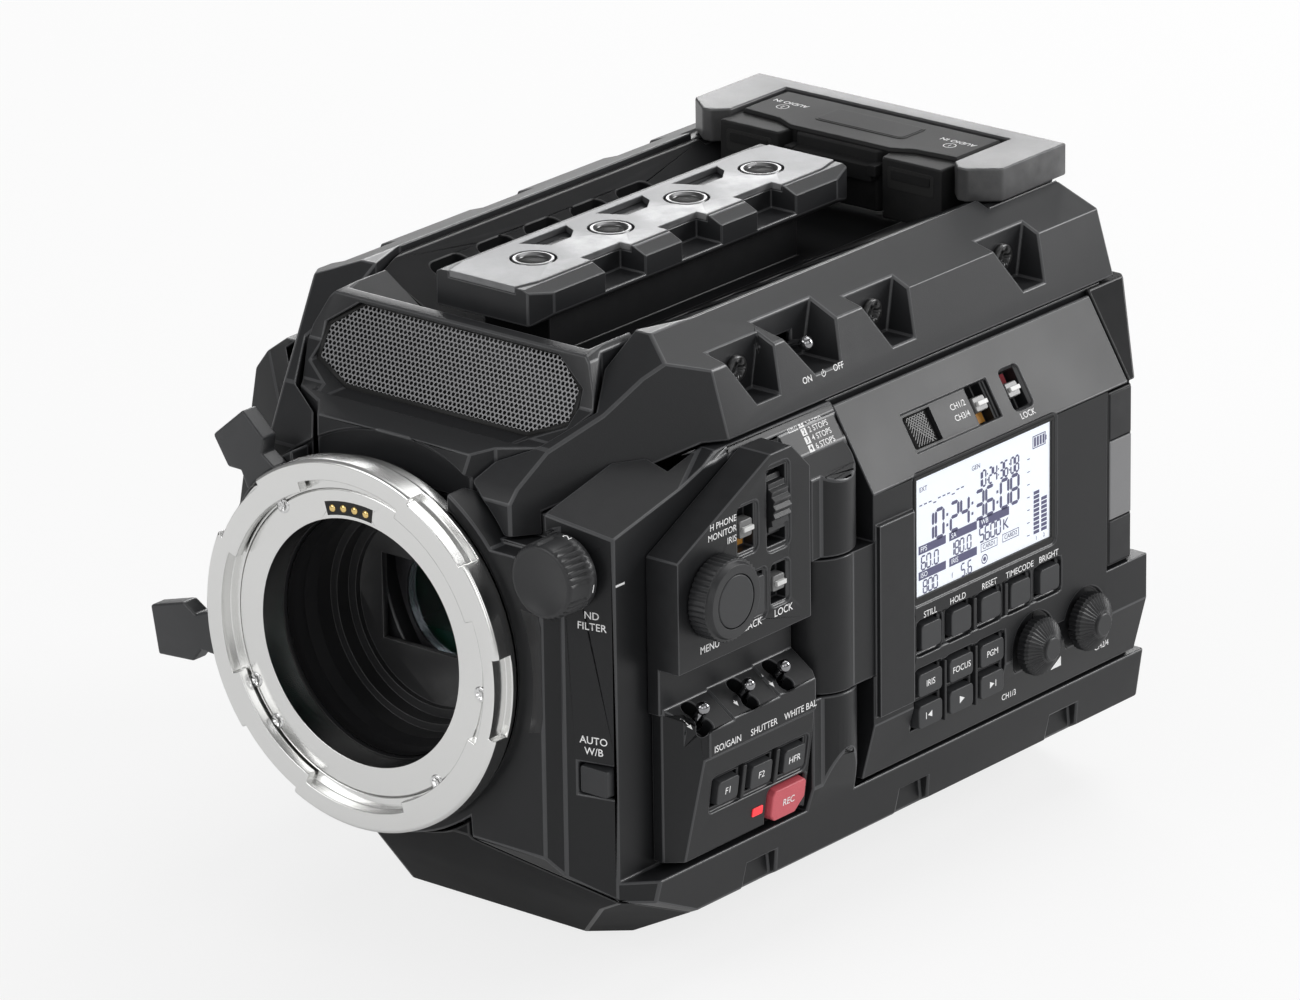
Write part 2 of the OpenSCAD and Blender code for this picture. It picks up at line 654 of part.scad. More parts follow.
module base_cover() color("#2a2b2d") difference() {
    intersection() {
        body_form();
        along_y(front_y, base_rear, pan_outline(0));
    }
    lower_corners();
    round_y(boss_r + seam, front_y - cut, -boss_rear + seam, 0, lens_axis_h);
    // Rear ends of the pan and of its upper rim
    span([-side_half, band_rear, -cut], [side_half, base_rear + cut, big]);
    along_x(-side_half, side_half, [[-pan_wall_y, big], [-pan_wall_y, base_seam_h + seam * 6],
        [-pan_wall_y + wall * 2, base_seam_h], [base_rear + cut, base_seam_h], [base_rear + cut, big]]);
    // Between the two skids
    along_y(front_y, base_rear + cut, mirrored([[skid_in_half, -cut], [skid_in_half - belly_h,
        belly_h]]));
    // Hollow inside
    intersection() {
        along_x(-pan_low_half + wall, pan_low_half - wall, [[-pan_wall_y, big], [-pan_wall_y,
            base_seam_h + seam * 5],
            [-jaw_reach + wall * 1.5, jaw_h + wall], [-heel_reach + wall, pan_floor_t],
                [band_rear - wall, pan_floor_t], [band_rear - wall, base_seam_h - wall],
            [housing_rear - wall, base_seam_h - wall], [housing_rear - wall, big]]);
        along_y(front_y, base_rear, mirrored([[belly_half - wall, pan_floor_t], [pan_low_half - wall,
            sole_h + wall / 2],
            [pan_low_half - wall, big]]));
        difference() {
            span([-big / 2, -big / 2, 0], [big / 2, big / 2, big]);
            lower_corners(-wall);
        }
    }
    // Opening of the foot plate
    along_z(-cut, pan_floor_t + cut, foot_plan(fit_gap));
}
base_scallops = [-44, 8, 61];
scallop_w = 15;
scallop_h = 23;
scallop_half = 62.6;
foot_half = 13.6;
foot_front = 34;
foot_rear = 46;
foot_corner = 5;
socket_r = 4.76;
socket_deep = 10;
socket_boss_r = 9;
small_socket_r = 3.17;
small_socket_y = 26;
lug_y = -22;
lug_r = 2.6;
module foot_plate() color("#1f2022") difference() {
    union() {
        along_z(0, foot_t, foot_plan(0));
        round_z(socket_boss_r, 0, foot_t + wall * 2.4, 0, 0);
    }
    round_z(socket_r, -cut, socket_deep, 0, 0);
    round_z(small_socket_r, -cut, foot_t - wall / 2, 0, small_socket_y);
    round_z(lug_r, -cut, foot_t / 2, 0, lug_y);
}

plate_half = 40;
plate_low_h = 34;
plate_high_h = 106;
plate_depth = 10;
rail_gap_half = 24;
latch_half_y = 7;
strip_front = 71;
strip_low_h = 54;
strip_high_h = 94;
strip_drop = 0.4;
module rear_cover() color("#2c2d30") difference() {
    union() {
        intersection() {
            along_y(flange_front, rear_reach, body_front_outline);
            along_z(base_seam_h + seam, housing_top_h, mirrored([[side_half, flange_front], [side_half,
                flange_rear],
                [rear_taper_half, rear_reach]]));
            union() {
                span([-big, housing_rear + fit_gap, 0], [big, rear_reach, big]);
                // Flange behind the door's upper end
                span([door_back_half + fit_gap, flange_front, flange_low_h], [big, rear_reach, big]);
            }
        }
        // Battery plate with its two vertical rails
        span([-plate_half, rear_reach - cut, plate_low_h], [plate_half, rear_reach + plate_depth,
            plate_high_h]);
        for (side = [-1, 1]) along_z(plate_low_h + wall * 2, plate_high_h - wall * 2, [
            [side * rail_gap_half, rear_reach + plate_depth - cut], [side * (plate_half - wall),
                rear_reach + plate_depth - cut],
            [side * plate_half, overall_rear], [side * (rail_gap_half + wall), overall_rear]]);
        // Strip that the door closes round
        along_z(strip_low_h, strip_high_h, [[door_back_half + fit_gap, strip_front],
            [side_half - strip_drop, strip_front],
            [side_half - strip_drop, strip_rear], [rear_taper_half + wall, housing_rear + wall],
                [door_back_half + fit_gap, housing_rear + wall]]);
    }
    // The door's lower end passes in front
    span([door_back_half + fit_gap, housing_rear - big, 0], [side_half + cut, door_rear_low + seam,
        strip_low_h]);
    for (i = [0, 1]) round_y(jack_r, rear_reach - jack_deep, rear_reach + cut, jack_x,
        jack_h + i * jack_pitch);
}
jack_r = 4.2;
jack_deep = 5;
jack_x = 47;
jack_h = 45;
jack_pitch = 14;

// Audio block behind the rail, with its rubber cover
audio_front = 64;
audio_rear = 91.5;
audio_sink = 1.4;
audio_t = 7.6;
audio_base_h = shoulder_h - audio_sink;
audio_top_h = audio_base_h + audio_t;
audio_mouth_half = 31;
audio_back_t = 5;
module audio_block() color("#6d6e70") difference() {
    along_z(audio_base_h, audio_top_h, mirrored([[audio_mouth_half, audio_front + wall],
        [audio_mouth_half + wall, audio_front],
        [audio_half - wall * 2, audio_front], [audio_half, audio_front + wall * 1.6], [audio_half,
            audio_rear]]));
    span([-audio_mouth_half, audio_front - cut, audio_base_h - cut],
        [audio_mouth_half, audio_rear - audio_back_t, audio_top_h + cut]);
    span([-audio_half - cut, tray_rear - cut, audio_base_h - cut], [audio_half + cut, audio_rear + cut,
        audio_base_h + fit_gap]);
}
cover_nose = 3;
audio_cover_shares = [[0.3, 0], [0.36, 0.12], [0.72, 0.12], [0.8, -0.06], [1, -0.06], [1, 1]];
plate_lift = 0.7;
module audio_cover() color("#18191a") {
    half = audio_mouth_half - fit_gap;
    front = audio_front;
    deep = audio_rear - audio_back_t - fit_gap - front;
    difference() {
        along_z(audio_base_h, audio_top_h + plate_lift / 2,
            mirrored([for (p = audio_cover_shares) [p[0] * half, front + p[1] * deep]]));
        for (x = [-0.62, 0.62]) span([x * half - wall, front - wall * 2, audio_base_h + wall / 2],
            [x * half + wall, front + deep * 0.05, audio_base_h + wall * 1.4]);
    }
}

// Rail on its pedestal, with a bright top plate and threaded inserts
rail_t = 8.3;
rail_under_h = rail_top_h - rail_t;
rail_foot_half = 12.5;
rail_lip = 1.8;
rail_plate_half = 10.4;
rail_plate_t = 1.5;
rail_end_cut = 6;
rail_hole_y = -37.3;
pedestal_rear = 40;
insert_r = 5;
rail_pocket_len = 13;
rail_pocket_deep = 5.8;
rail_pocket_h = rail_top_h - rail_pocket_deep;
rail_rear_y = -rail_front + rail_len;
function rail_plan(half) = mirrored([[rail_foot_half * half / rail_half, -rail_front], [half,
    -rail_front + rail_end_cut],
    [half, rail_rear_y - rail_end_cut], [rail_foot_half * half / rail_half, rail_rear_y]]);
module rail_holes(r, z0, z1) {
    for (i = [0:3]) round_z(r, z0, z1, 0, rail_hole_y + i * hole_pitch);
}
module side_pocket(i) {
    y = rail_hole_y + (i + 0.5) * hole_pitch;
    span([rail_plate_half - rail_lip * 1.5, y - rail_pocket_len / 2, rail_pocket_h],
        [rail_half + cut, y + rail_pocket_len / 2, rail_top_h + cut]);
}
module top_rail() color("#2e2f31") difference() {
    intersection() {
        along_y(-rail_front, rail_rear_y, mirrored([[rail_foot_half, rail_under_h], [rail_half,
            rail_under_h + rail_lip],
            [rail_half, rail_top_h - rail_lip], [rail_plate_half + rail_lip / 2,
                rail_top_h - rail_lip / 6]]));
        along_z(rail_under_h, rail_top_h, rail_plan(rail_half));
    }
    along_z(rail_top_h - rail_plate_t, rail_top_h + cut, rail_plan(rail_plate_half + fit_gap / 3));
    for (i = [0:2]) side_pocket(i);
    rail_holes(insert_r, rail_under_h - cut, rail_top_h + cut);
}
module rail_plate() color("#c6c8c9") difference() {
    along_z(rail_top_h - rail_plate_t, rail_top_h, rail_plan(rail_plate_half));
    for (i = [0:2]) {
        side_pocket(i);
        y = rail_hole_y + (i + 0.5) * hole_pitch;
        // Keyhole cut-outs along the other edge
        along_z(rail_under_h, rail_top_h + cut, [[-rail_plate_half * 0.82, y - rail_pocket_len * 0.55],
            [-rail_plate_half * 0.25, y - rail_pocket_len * 0.3], [-rail_plate_half * 0.25,
                y + rail_pocket_len * 0.2],
            [-rail_plate_half * 0.5, y + rail_pocket_len * 0.5], [-rail_plate_half * 0.82,
                y + rail_pocket_len * 0.62]]);
    }
    rail_holes(insert_r, rail_under_h, rail_top_h + cut);
}
module rail_inserts() color("#9a9c9f") difference() {
    rail_holes(insert_r - fit_gap / 10, rail_under_h + fit_gap, rail_top_h);
    rail_holes(rail_hole_d / 2, rail_under_h - cut, rail_top_h + cut);
}

// Lens seat, throat and lock ring
throat_r = throat_bore / 2;
seat_r = seat_d / 2;
ring_r = ring_d / 2;
seat_plate_r = 39;
seat_plate_t = 2.4;
throat_outer_r = 30;
module lens_flange() color("#d8d9da") difference() {
    turned_y([[throat_r, seat_y], [seat_r - seam / 2, seat_y], [seat_r, seat_y + seam / 2], [seat_r,
        front_y],
        [seat_plate_r, front_y], [seat_plate_r, front_y + seat_plate_t], [throat_r,
            front_y + seat_plate_t]]);
    // Shallow pocket for the contact pins, at the top
    for (i = [-1.5:1:1.5]) translate([0, 0, lens_axis_h]) rotate([0, pin_arc * i - pin_turn, 0])
        round_y(contact_r, seat_y - cut, seat_y + contact_deep, 0, throat_r + contact_r * 2);
}
pin_arc = 6;
pin_turn = 4;
contact_r = 1.1;
contact_deep = 1.2;
step_shares = [0.55, 0.7, 0.86, 1];
mask_half_w = 15;
mask_half_h = 9.6;
mask_t = 1.6;
module throat_tube() color("#101112") difference() {
    turned_y([[throat_r, front_y + seat_plate_t + fit_gap / 2], [throat_outer_r,
        front_y + seat_plate_t + fit_gap / 2],
        [throat_outer_r, throat_end], [mask_half_h, throat_end], [mask_half_h, throat_end - mask_t],
        [throat_r - wall * 1.9, throat_end - mask_t], [throat_r - wall * 1.9, throat_end - wall],
        [throat_r - wall * 1.2, throat_end - wall], [throat_r - wall * 1.2, throat_end - wall * 2.2],
        [throat_r - wall * 0.6, throat_end - wall * 2.2], [throat_r - wall * 0.6,
            throat_end - wall * 3.6],
        [throat_r - wall * 0.3, throat_end - wall * 4.6], [throat_r - wall * 0.3,
            throat_end - wall * 5]]);
    span([-mask_half_w, throat_end - wall, lens_axis_h - mask_half_h], [mask_half_w, throat_end + cut,
        lens_axis_h + mask_half_h]);
}
ring_front = seat_y - 3;
ring_rear = ring_front + ring_t;
lug_in_r = 33.9;
lip_in_r = 36;
lip_t = 2.4;
lug_arc = 46;
lug_start = [22, 112, 202, 292];
grip_arc = 26;
grip_deep = 1.6;
grip_angles = [52, -4, 232, 142];
module sector(r0, r1, y0, y1, a0, a1) {
    translate([0, y1, lens_axis_h]) rotate([90, 0, 0]) linear_extrude(y1 - y0) difference() {
        circle(r = r1);
        circle(r = r0);
        rotate(a1) translate([-r1 * 1.5, 0]) square([r1 * 3, r1 * 1.5]);
        rotate(a0) translate([-r1 * 1.5, -r1 * 1.5]) square([r1 * 3, r1 * 1.5]);
    }
}
module lock_ring() color("#e4e5e6") difference() {
    union() {
        turned_y([[lip_in_r, ring_front], [ring_r - seam, ring_front], [ring_r, ring_front + seam],
            [ring_r, ring_rear - wall / 2],
            [ring_r - seam * 1.5, ring_rear - wall / 2], [ring_r - seam * 1.5, ring_rear],
                [seat_r + run_gap, ring_rear],
            [seat_r + run_gap, ring_front + lip_t + seam], [lip_in_r, ring_front + lip_t + seam]]);
        for (a = lug_start) sector(lug_in_r, lip_in_r + fit_gap, ring_front, ring_front + lip_t, a,
            a + lug_arc);
    }
    for (a = grip_angles) sector(ring_r - grip_deep, ring_r + cut, ring_front - cut,
        ring_front + ring_t * 0.62, a - grip_arc / 2, a + grip_arc / 2);
}
lever_angles = [130, 190];
lever_reach = [13.5, 18];
lever_shares = [[0, -0.42], [0.35, -0.3], [0.5, -0.5], [1, -0.42], [1, 0.42], [0.5, 0.5], [0.35, 0.3],
    [0, 0.42]];
lever_w = 13;
lever_t = 4.4;
module lock_levers() color("#1d1d1f") for (i = [0, 1])
    difference() {
        translate([0, ring_front + lip_t + lever_t, lens_axis_h]) rotate([90, 0,
            0]) rotate(lever_angles[i])
            linear_extrude(lever_t) polygon([for (p = lever_shares) [ring_r - wall / 2 + p[0] *
                (lever_reach[i] + wall / 2), p[1] * lever_w]]);
        round_y(ring_r + run_gap, ring_front - cut, 0, 0, lens_axis_h);
    }

// Filter knob, idler and turret
filter_knob_front = 96;
filter_knob_seat = 87.6;
knob_ribs = 30;
rib_deep = 0.35;
module nd_knob() color("#27282a") {
    translate([knob_at[0], -filter_knob_seat, knob_at[1]]) rotate([90, 0, 0])
        linear_extrude(filter_knob_front - filter_knob_seat)
        polygon([for (i = [0:knob_ribs * 2 - 1]) let(a = i * 180 / knob_ribs,
            flat = (a % 90 < 24) ? rib_deep : (i % 2) * rib_deep * 2)
            [(filter_knob_d / 2 - flat) * cos(a), (filter_knob_d / 2 - flat) * sin(a)]]);
    round_y(shaft_r, -filter_knob_seat - cut, gear_y + cut / 2, knob_at[0], knob_at[1]);
    spur(small_teeth, gear_y, gear_y + gear_t, knob_at, 180 / small_teeth);
}
module nd_idler() color("#b58a3a") difference() {
    spur(idler_teeth, gear_y, gear_y + gear_t - seam / 2, idler_at);
    round_y(post_r + run_gap, gear_y - cut, gear_y + gear_t + cut, idler_at[0], idler_at[1]);
}
module filter_places(r, y0, y1) {
    for (i = [0:3]) round_y(r, y0, y1, turret_at[0] + turret_offset * cos(knob_tilt + 180 + i * 90),
        turret_at[1] + turret_offset * sin(knob_tilt + 180 + i * 90));
}
module nd_turret() color("#3c3d40") difference() {
    union() {
        round_y(turret_r, disc_y, disc_y + disc_t, turret_at[0], turret_at[1]);
        spur(small_teeth, gear_y, disc_y + cut, turret_at);
    }
    filter_places(filter_r + run_gap, disc_y - cut, disc_y + disc_t + cut);
    round_y(post_r + run_gap, gear_y - cut, disc_y + disc_t + cut, turret_at[0], turret_at[1]);
}
filter_t = 2;
module nd_filters() color("#4f5a63") filter_places(filter_r, disc_y + seam, disc_y + seam + filter_t);

// Image sensor on its plate, cooler, board and fan
sensor_plate_half_w = 46;
sensor_low_h = 37;
sensor_high_h = 109;
sensor_plate_t = 3;
sensor_box_half = 30;
window_half_w = 15;
window_half_h = 9;
image_y = seat_y + image_depth;
module sensor_module() color("#1b2a22") {
    difference() {
        union() {
            span([turret_at[0] - sensor_plate_half_w * 1.02, cavity_front + fit_gap / 2, sensor_low_h],
                [door_back_half - wall - fit_gap, cavity_front + sensor_plate_t, sensor_high_h]);
            span([-sensor_box_half, cavity_front + sensor_plate_t - cut, lens_axis_h - sensor_box_half],
                [sensor_box_half, image_y + wall, lens_axis_h + sensor_box_half]);
        }
        span([-window_half_w, cavity_front - cut, lens_axis_h - window_half_h], [window_half_w, image_y,
            lens_axis_h + window_half_h]);
    }
    // Post that carries the turret
    round_y(post_r, gear_y + fit_gap, cavity_front + sensor_plate_t / 2, turret_at[0], turret_at[1]);
}
fin_count = 11;
fin_pitch = 6;
fin_t = 1.4;
sink_depth = 24;
module heat_sink() color("#8d9094") {
    y0 = image_y + wall + fit_gap;
    w = (fin_count - 1) * fin_pitch + fin_t;
    span([-w / 2, y0, lens_axis_h - sensor_box_half], [w / 2, y0 + wall, lens_axis_h + sensor_box_half]);
    for (i = [0:fin_count - 1]) span([-w / 2 + i * fin_pitch, y0 + wall - cut,
        lens_axis_h - sensor_box_half],
        [-w / 2 + i * fin_pitch + fin_t, y0 + sink_depth, lens_axis_h + sensor_box_half]);
}
board_front = -38;
board_rear = 76;
board_t = 1.6;
chip_w = 24;
chip_t = 3;
module main_board() color("#1d3b2a") {
    z0 = base_seam_h + seam + floor_t + fit_gap;
    span([-base_seam_half + wall + fit_gap, board_front, z0], [door_back_half - wall * 2, board_rear,
        z0 + board_t]);
    for (i = [0:2]) span([-chip_w / 2 + (i - 1) * chip_w * 1.4, chip_w / 2, z0 + board_t],
        [chip_w / 2 + (i - 1) * chip_w * 1.4, chip_w * 1.5, z0 + board_t + chip_t]);
}
fan_r = 24;
fan_hub_r = 8;
fan_h = 12;
blade_count = 9;
blade_t = 1;
fan_shaft_r = 1.5;
fan_top_h = 110;
module fan_rotor() color("#151617") difference() {
    union() {
        round_z(fan_hub_r, fan_top_h - fan_h, fan_top_h, 0, fan_y);
        round_z(fan_shaft_r, fan_top_h - cut, tray_floor_h - wall - fit_gap, 0, fan_y);
        for (i = [0:blade_count - 1]) translate([0, fan_y,
            fan_top_h - fan_h + wall / 2]) rotate(i * 360 / blade_count)
            linear_extrude(fan_h - wall) polygon([[fan_hub_r - cut, -blade_t], [fan_r * 0.7,
                blade_t * 2.2],
                [fan_r, blade_t * 6], [fan_r - blade_t, blade_t * 6.6], [fan_r * 0.66, blade_t * 3.2],
                    [fan_hub_r - cut, blade_t / 4]]);
    }
}

// Control panel and the stepped shelf with its toggles
panel_front = 74.5;
panel_rear = 31;
panel_low_h = 73.5;
panel_corner_h = 98;
panel_top_h = 113;
panel_peak_reach = 44;
panel_peak_rear = 37;
panel_back_half = control_wall_half + fit_gap;
shelf_in_h = 66.5;
shelf_out_h = 59.5;
shelf_half = 70.5;
label_low_h = 53;
skirt_high_half = 69.6;
skirt_low_half = 66.4;
skirt_low_h = 30.5;
shelf_front = 73.5;
shelf_cut = 7.5;
shelf_corner = 1.6;
shelf_step = 0.5;
shelf_breaks = [59, 44];
dial_y = -62.8;
dial_h = 87.8;
dial_t = 5.6;
dial_button_r = 5.7;
dial_shaft_r = 2.4;
dial_deep = 5;
back_y = -48.6;
back_h = 83.5;
back_w = 4.2;
back_tall = 9;
wheel_y = -41.5;
wheel_h = 101;
wheel_r = 8;
wheel_w = 5.4;
wheel_proud = 1.5;
wheel_axle_r = 1.2;
mode_y = -51.6;
mode_h = 99;
mode_w = 4.6;
mode_tall = 4.4;
mode_travel = 2.3;
lock_y = -41;
lock_h = 84;
lock_w = 4.4;
lock_tall = 4;
lock_travel = 1.9;
slider_deep = 3;
slider_proud = 1;
f_key_w = 7.4;
f_key_tall = 5.8;
f_key_h = 43.8;
f_key_y = [-59.3, -48.3, -37.3];
record_y = -38;
record_h = 34.4;
record_w = 11.6;
record_tall = 7.6;
toggle_y = [-66.7, -51.8, -40.1];
toggle_r = 1.25;
toggle_len = 5.6;
toggle_ball_r = 1.5;
toggle_x = 66.9;
toggle_slot_w = 3.6;
toggle_slot_deep = 4.6;
toggle_hole_r = 2;
toggle_hole_pitch = 4.6;
toggle_neck_w = 2.9;
skirt_lean = atan((skirt_high_half - skirt_low_half) / (label_low_h - skirt_low_h));
shelf_lean = atan((shelf_in_h - shelf_out_h) / (shelf_half - control_wall_half));
function shelf_z(x) = shelf_in_h - (x - control_wall_half) * tan(shelf_lean);
function skirt_x(z) = skirt_low_half + (z - skirt_low_h) * tan(skirt_lean);
key_deep = 3;
key_well_deep = key_deep - key_proud + key_travel + fit_gap;
// A well sunk into a face that looks along +X
module well_x(face, y, z, w, tall, deep) {
    span([face - deep, y - w / 2, z - tall / 2], [face + cut * 6, y + w / 2, z + tall / 2]);
}
function lifted(i) = i * shelf_step;
module control_panel() color("#2d2e31") difference() {
    union() {
        along_x(panel_back_half, panel_face, [[-panel_front, panel_low_h], [-panel_front, panel_corner_h],
            [-panel_peak_reach, panel_top_h], [-panel_peak_rear, panel_top_h],
            [-panel_rear, panel_top_h - (panel_peak_rear - panel_rear)], [-panel_rear, panel_low_h]]);
        // Web behind the step between the panel and the shelf
        span([panel_back_half, -panel_front, shelf_in_h - wall], [panel_back_half + wall, -panel_rear,
            panel_low_h + cut]);
        intersection() {
            union() {
                for (i = [0:2]) shelf_block(i);
            }
            along_z(0, shoulder_h, [[panel_back_half, -shelf_front], [control_wall_half + wall,
                -shelf_front],
                [shelf_half + cut, -shelf_front + shelf_cut], [shelf_half + cut,
                    -panel_rear - shelf_corner],
                [shelf_half - shelf_corner, -panel_rear], [panel_back_half, -panel_rear]]);
        }
    }
    // Dial, sliders, wheel and back button
    round_x(dial_shaft_r + run_gap, panel_face - dial_deep, panel_face + cut, dial_y, dial_h);
    well_x(panel_face, back_y, back_h, back_w + key_gap * 2, back_tall + key_gap * 2,
        key_well_deep + key_proud / 2);
    well_x(panel_face, wheel_y, wheel_h, wheel_w + key_gap * 2, wheel_r * 2 + key_gap * 2,
        wheel_r * 2 - wheel_proud + key_gap);
    round_y_at(wheel_axle_r + run_gap, wheel_y - wheel_w / 2 - wall / 2, wheel_y + wheel_w / 2 + wall / 2,
        panel_face + wheel_proud - wheel_r, wheel_h);
    well_x(panel_face, mode_y, mode_h, mode_w + key_gap * 2, mode_tall + mode_travel * 2 + key_gap * 2,
        slider_deep + fit_gap);
    well_x(panel_face, lock_y, lock_h, lock_w + key_gap * 2, lock_tall + lock_travel * 2 + key_gap * 2,
        slider_deep + fit_gap);
    // Wells of the three function keys and of the record key
    for (y = f_key_y) on_skirt(y, f_key_h) well_x(0, 0, 0, f_key_w + key_gap * 2,
        f_key_tall + key_gap * 2, key_well_deep);
    on_skirt(record_y, record_h) well_x(0, 0, 0, record_w + key_gap * 2, record_tall + key_gap * 2,
        key_well_deep);
    for (i = [0:2]) on_shelf(toggle_y[i], i) {
        for (side = [-1, 1]) translate([side * toggle_hole_pitch / 2, 0, -toggle_slot_deep])
            cylinder(h = toggle_slot_deep + cut * 2, r = toggle_hole_r);
        span([-toggle_hole_pitch / 2, -toggle_neck_w / 2, -toggle_slot_deep],
            [toggle_hole_pitch / 2, toggle_neck_w / 2, cut * 2]);
        round_y_at(toggle_r + run_gap, -toggle_slot_w, toggle_slot_w, 0, -toggle_len / 2);
    }
}
module round_y_at(r, y0, y1, x, z) {
    translate([x, y0, z]) rotate([-90, 0, 0]) cylinder(h = y1 - y0, r = r);
}
module shelf_block(i) {
    stops = concat([shelf_front], shelf_breaks, [panel_rear]);
    up = lifted(i);
    along_y(-stops[i], -stops[i + 1], [[panel_back_half, skirt_low_h], [skirt_low_half, skirt_low_h],
        [skirt_high_half, label_low_h], [shelf_half, label_low_h + seam], [shelf_half, shelf_out_h + up],
        [panel_back_half, shelf_in_h + up]]);
}
// Places on the leaning skirt: x out of the face, y along it, z up it
module on_skirt(y, z) {
    translate([skirt_x(z), y, z]) rotate([0, skirt_lean, 0]) children();
}
// Places on the shelf: z out of the face, x down the slope
module on_shelf(y, i) {
    translate([toggle_x, y, shelf_z(toggle_x) + lifted(i)]) rotate([0, shelf_lean, 0]) children();
}
dial_ribs = 44;
module knurled(r, h, ribs, deep) {
    linear_extrude(h) polygon([for (i = [0:ribs * 2 - 1]) let(a = i * 180 / ribs,
        q = r - (i % 2) * deep) [q * cos(a), q * sin(a)]]);
}
module menu_dial() color("#232426") difference() {
    union() {
        translate([panel_face + fit_gap, dial_y, dial_h]) rotate([0, 90, 0]) knurled(dial_d / 2,
            dial_t - seam * 2, dial_ribs, rib_deep);
        translate([panel_face + fit_gap + dial_t - seam * 2, dial_y, dial_h]) rotate([0, 90, 0])
            cylinder(h = seam * 2, r1 = dial_d / 2 - rib_deep * 2, r2 = dial_d / 2 - seam * 2);
        round_x(dial_shaft_r, panel_face - dial_deep + fit_gap, panel_face + seam, dial_y, dial_h);
    }
    round_x(dial_button_r + key_gap / 2, panel_face + dial_t - dial_cup, panel_face + dial_t + cut,
        dial_y, dial_h);
}
dial_cup = 3;
button_t = dial_cup - key_travel - fit_gap * 2;
module menu_button() color("#26272a")
    round_x(dial_button_r, panel_face + dial_t + fit_gap - button_t, panel_face + dial_t + fit_gap,
        dial_y, dial_h);
module back_button() color("#2e2f32")
    span([panel_face + key_proud / 2 - key_deep, back_y - back_w / 2, back_h - back_tall / 2],
        [panel_face + key_proud / 2, back_y + back_w / 2, back_h + back_tall / 2]);
wheel_ribs = 26;
module gain_wheel() color("#1d1e20") {
    x = panel_face + wheel_proud - wheel_r;
    translate([x, wheel_y + wheel_w / 2, wheel_h]) rotate([90, 0, 0]) knurled(wheel_r, wheel_w,
        wheel_ribs, rib_deep * 2);
    round_y_at(wheel_axle_r, wheel_y - wheel_w / 2 - wall / 2 + fit_gap / 2,
        wheel_y + wheel_w / 2 + wall / 2 - fit_gap / 2, x, wheel_h);
}
module slider_piece(y, z, w, tall) {
    span([panel_face - slider_deep, y - w / 2, z - tall / 2], [panel_face - slider_proud / 2, y + w / 2,
        z + tall / 2]);
    span([panel_face - slider_proud, y - w / 2 + seam, z - tall / 6], [panel_face + slider_proud,
        y + w / 2 - seam, z + tall / 6]);
}
module mode_slider() color("#d5d5d5") slider_piece(mode_y, mode_h, mode_w, mode_tall);
module panel_lock() color("#d5d5d5") slider_piece(lock_y, lock_h, lock_w, lock_tall);
module toggle(i) {
    on_shelf(toggle_y[i], i) {
        round_y_at(toggle_r, -toggle_slot_w + fit_gap, toggle_slot_w - fit_gap, 0, -toggle_len / 2);
        translate([0, 0, -toggle_len / 2]) cylinder(h = toggle_len, r1 = toggle_r, r2 = toggle_r * 0.75,
            $fn = 32);
        translate([0, 0, toggle_len / 2]) sphere(r = toggle_ball_r, $fn = 32);
    }
}
module toggle_gain() color("#cfd0d2") toggle(0);
module toggle_shutter() color("#cfd0d2") toggle(1);
module toggle_white() color("#cfd0d2") toggle(2);
power_lean = 18;
module power_toggle() color("#cfd0d2") translate([power_half - wall / 2, power_y, power_pivot_h]) {
    rotate([0, 90 - power_lean, 0]) cylinder(h = power_reach, r1 = power_r, r2 = power_r * 0.8, $fn = 32);
    rotate([0, 90 - power_lean, 0]) translate([0, 0, power_reach]) sphere(r = power_r * 1.2, $fn = 32);
    round_y_at(power_r, -power_r * 2 + fit_gap, power_r * 2 - fit_gap, 0, 0);
}
module skirt_key(y, z, w, tall) {
    on_skirt(y, z) span([key_proud - key_deep, -w / 2, -tall / 2], [key_proud, w / 2, tall / 2]);
}
module key_one() color("#2a2b2e") skirt_key(f_key_y[0], f_key_h, f_key_w, f_key_tall);
module key_two() color("#2a2b2e") skirt_key(f_key_y[1], f_key_h, f_key_w, f_key_tall);
module key_rate() color("#2a2b2e") skirt_key(f_key_y[2], f_key_h, f_key_w, f_key_tall);
record_cut = 2.2;
module record_key() color("#c33b44") on_skirt(record_y, record_h)
    along_x(key_proud - key_deep, key_proud, [[-record_w / 2, -record_tall / 2 + record_cut],
        [-record_w / 2 + record_cut, -record_tall / 2],
        [record_w / 2 - record_cut, -record_tall / 2], [record_w / 2, -record_tall / 2 + record_cut],
            [record_w / 2, record_tall / 2],
        [-record_w / 2, record_tall / 2]]);
module balance_key() color("#2a2b2e") span([balance_x - balance_w / 2, balance_face_y,
    balance_h - balance_tall / 2],
    [balance_x + balance_w / 2, balance_face_y + balance_deep, balance_h + balance_tall / 2]);

// Side door with its displays, keys, knobs and sliders
door_in_half = door_back_half + seam * 1.6;
door_rear = 77.6;
door_low_h = base_seam_h + seam * 2;
door_high_h = cover_seam_h - seam * 2.6;
facet_lean = atan((side_half - cover_half) / (cover_seam_h - bend_h));
lcd_y = 26.9;
lcd_h = 80.4;
lcd_w = 47;
lcd_tall = 26.4;
lcd_deep = 3;
lcd_sink = 0.6;
screen_y = 30;
screen_h = 71;
screen_w = 72;
screen_tall = 54;
screen_t = 2.4;
row_first_y = 7.6;
row_pitch = 10.4;
row_h = 58;
row_key_w = 7.4;
row_key_tall = 6.2;
pad_first_y = 7.2;
pad_pitch = 10.8;
pad_h = [47.4, 40.2];
pad_key_w = 8.6;
pad_key_tall = 5.6;
pad_sink = 0.4;
level_y = [44, 62.4];
level_h = 44.6;
level_r = 6.6;
level_t = 5.4;
level_shaft_r = 2;
level_deep = 5;
channel_y = 32;
channel_up = 8.6;
